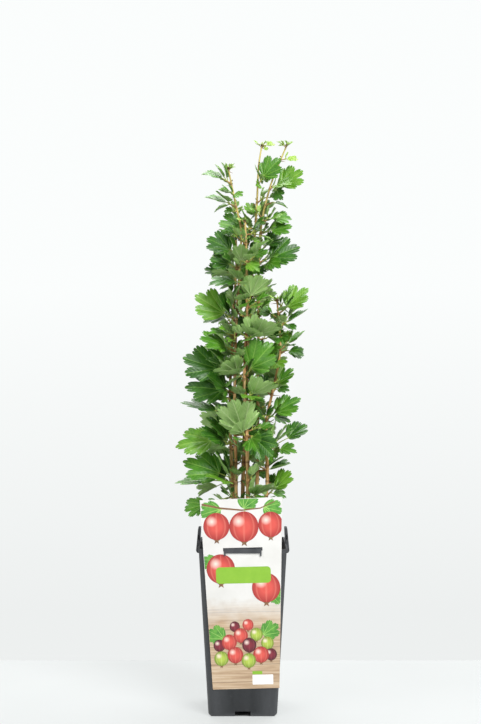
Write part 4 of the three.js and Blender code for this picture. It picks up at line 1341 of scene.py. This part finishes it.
LABEL_LEAVES = [
    (-26, 221, 25, 196), (2, 221, 23, 62), (26, 222, 23, -14), (-30, 158, 21, 200), (31, 118, 20, -24),
    (-25, 62, 22, 150), (22, 66, 22, 34),
]
TWIG_BERRIES = [(-31, 200, 16.5, (-24, 221)), (2, 199, 18.5, (4, 219)), (34, 201, 15.5, (28, 223))]
HEAP = [
    (-12, 77, 6.5, "ink_wine"), (4, 79, 7, "ink_red"), (-31, 54, 7.5, "ink_wine"), (27, 56, 8, "ink_lime"),
    (-5, 66, 9, "ink_red"), (14, 67, 8, "ink_lime"), (-19, 58, 9.5, "ink_red"), (5, 54, 9, "ink_wine"),
    (-29, 38, 9, "ink_lime"), (31, 42, 7.5, "ink_wine"), (-12, 42, 10, "ink_red"), (19, 42, 10, "ink_red"),
    (4, 35, 9, "ink_lime"),
]


def label():
    """A fruiting twig over the slot, a bare green panel, and berries heaped on the boards."""
    for slot in frame["nodes"]["label_card"].material_slots:
        slot.material = MATERIALS["card"]
    ink = Print()
    for row in LABEL_LEAVES:
        ink.leaf(*row)
    ink.line([(-48, 227), (-26, 222), (0, 219), (22, 221), (40, 229)], 2.6, "ink_twig", 2)
    for x, y, radius, top in TWIG_BERRIES:
        bend = ((x + top[0]) / 2 + 1, (y + radius + top[1]) / 2)
        ink.line([top, bend, (x, y + radius - 0.6)], 1.3, "ink_vein", 2)
        ink.berry(x, y, radius, "ink_red", 3)
    ink.berry(-27, 148, 18, "ink_red", 2)
    ink.berry(27, 124, 18, "ink_red", 2)
    ink.panel((-33, 130), (33, 150), 4.5, "ink_panel", 4)
    for i, (x, y, radius, slot) in enumerate(HEAP):
        ink.berry(x, y, radius, slot, 2 + i)
    ink.panel((8, 5), (33, 17), 0.6, "ink_white", 1)
    ink.panel((8, 17.6), (20, 21.6), 0.6, "ink_panel", 1)
    settle(ink.piece("label_print", 30), "label")


label()

# ---- Camera, light and floor ----

VIEW = {"x": -2.75, "distance": 1500, "height": 431, "lens": 59.67}
LIT_MIDDLE = (0, 0, 0.4)  # what the lamps are turned to
TABLE_HALF = 3  # half the table's width
TABLE_EDGE = 0.235  # how far behind the pot the table ends
TABLE_Z = -0.0002
FOOT_PATCH = 0.039  # half the width of the table's shaded patch within the pot's foot


def camera():
    data = bpy.data.cameras.new("camera")
    data.lens, data.sensor_width, data.clip_end = VIEW["lens"], 36, 50
    eye = shown("camera", data)
    eye.location = (VIEW["x"] * MM, -VIEW["distance"] * MM, VIEW["height"] * MM)
    eye.rotation_euler = (math.radians(90), 0, 0)
    bpy.context.scene.camera = eye


def softbox(name, place, size, power):
    data = bpy.data.lights.new(name, "AREA")
    data.shape, data.energy = "RECTANGLE", power
    data.size, data.size_y = size
    light = shown(name, data)
    light.location = place
    light.rotation_euler = (Vector(LIT_MIDDLE) - Vector(place)).to_track_quat("-Z", "Y").to_euler()


def backdrop_sky():
    """A pale backdrop to the eye, a little darker towards the table, and a dimmer fill as a light."""
    world = bpy.data.worlds.new("studio")
    world.use_nodes = True
    sky = Nodes(world.node_tree)
    level = sky.between(sky.axes(sky.add("ShaderNodeTexCoord", out="Generated"))["Z"], 0, 1, -0.2, 0.06)
    shade = sky.mix(level, (0.85, 0.87, 0.865, 1), (0.965, 0.985, 0.98, 1))
    seen = sky.add("ShaderNodeBackground", {"Color": shade})
    fill = sky.add("ShaderNodeBackground", {"Color": (1, 1, 1, 1), "Strength": 0.32})
    to_eye = sky.add("ShaderNodeLightPath", out="Is Camera Ray")
    both = sky.add("ShaderNodeMixShader", {0: to_eye, 1: fill, 2: seen})
    sky.join(both, sky.tree.nodes["World Output"].inputs["Surface"])
    bpy.context.scene.world = world


def table_skin(name, dark, light, **sockets):
    made = Finish(name, Roughness=0.6, Specular_IOR_Level=0.2, **sockets)
    made.join(made.blend(made.noise(3, 2), [dark, light]), made.shader.inputs["Base Color"])
    return made


def table():
    """A white table, shaded within the pot's foot."""
    # It glows a little, as a lit white sweep does, which keeps the shadow on it faint.
    white = table_skin("table_top", (121, 123, 123), (127, 129, 129), Emission_Strength=0.52)
    white.shader.inputs["Emission Color"].default_value = (0.97, 1, 0.99, 1)
    shaded = table_skin("table_under_pot", (138, 140, 140), (144, 146, 146))
    lines = (-TABLE_HALF, -FOOT_PATCH, FOOT_PATCH)
    points = [(x, y, TABLE_Z) for y in (*lines, TABLE_EDGE) for x in (*lines, TABLE_HALF)]
    tiles = [(a, a + 1, a + 5, a + 4) for row in range(3) for a in range(4 * row, 4 * row + 3)]
    mesh = plain_mesh("table", points, faces=tiles)
    mesh.materials.append(white.material)
    mesh.materials.append(shaded.material)
    mesh.polygons[4].material_index = 1
    shown("table", mesh)


camera()
backdrop_sky()
softbox("key", (1.0, -1.6, 1.7), (1.1, 1.1), 62)
softbox("fill", (-1.5, -1.3, 1.2), (1.2, 1.4), 15)
softbox("over", (0.1, 0.8, 1.9), (2.2, 1.4), 52)
bpy.context.scene.view_settings.view_transform = "Standard"
table()
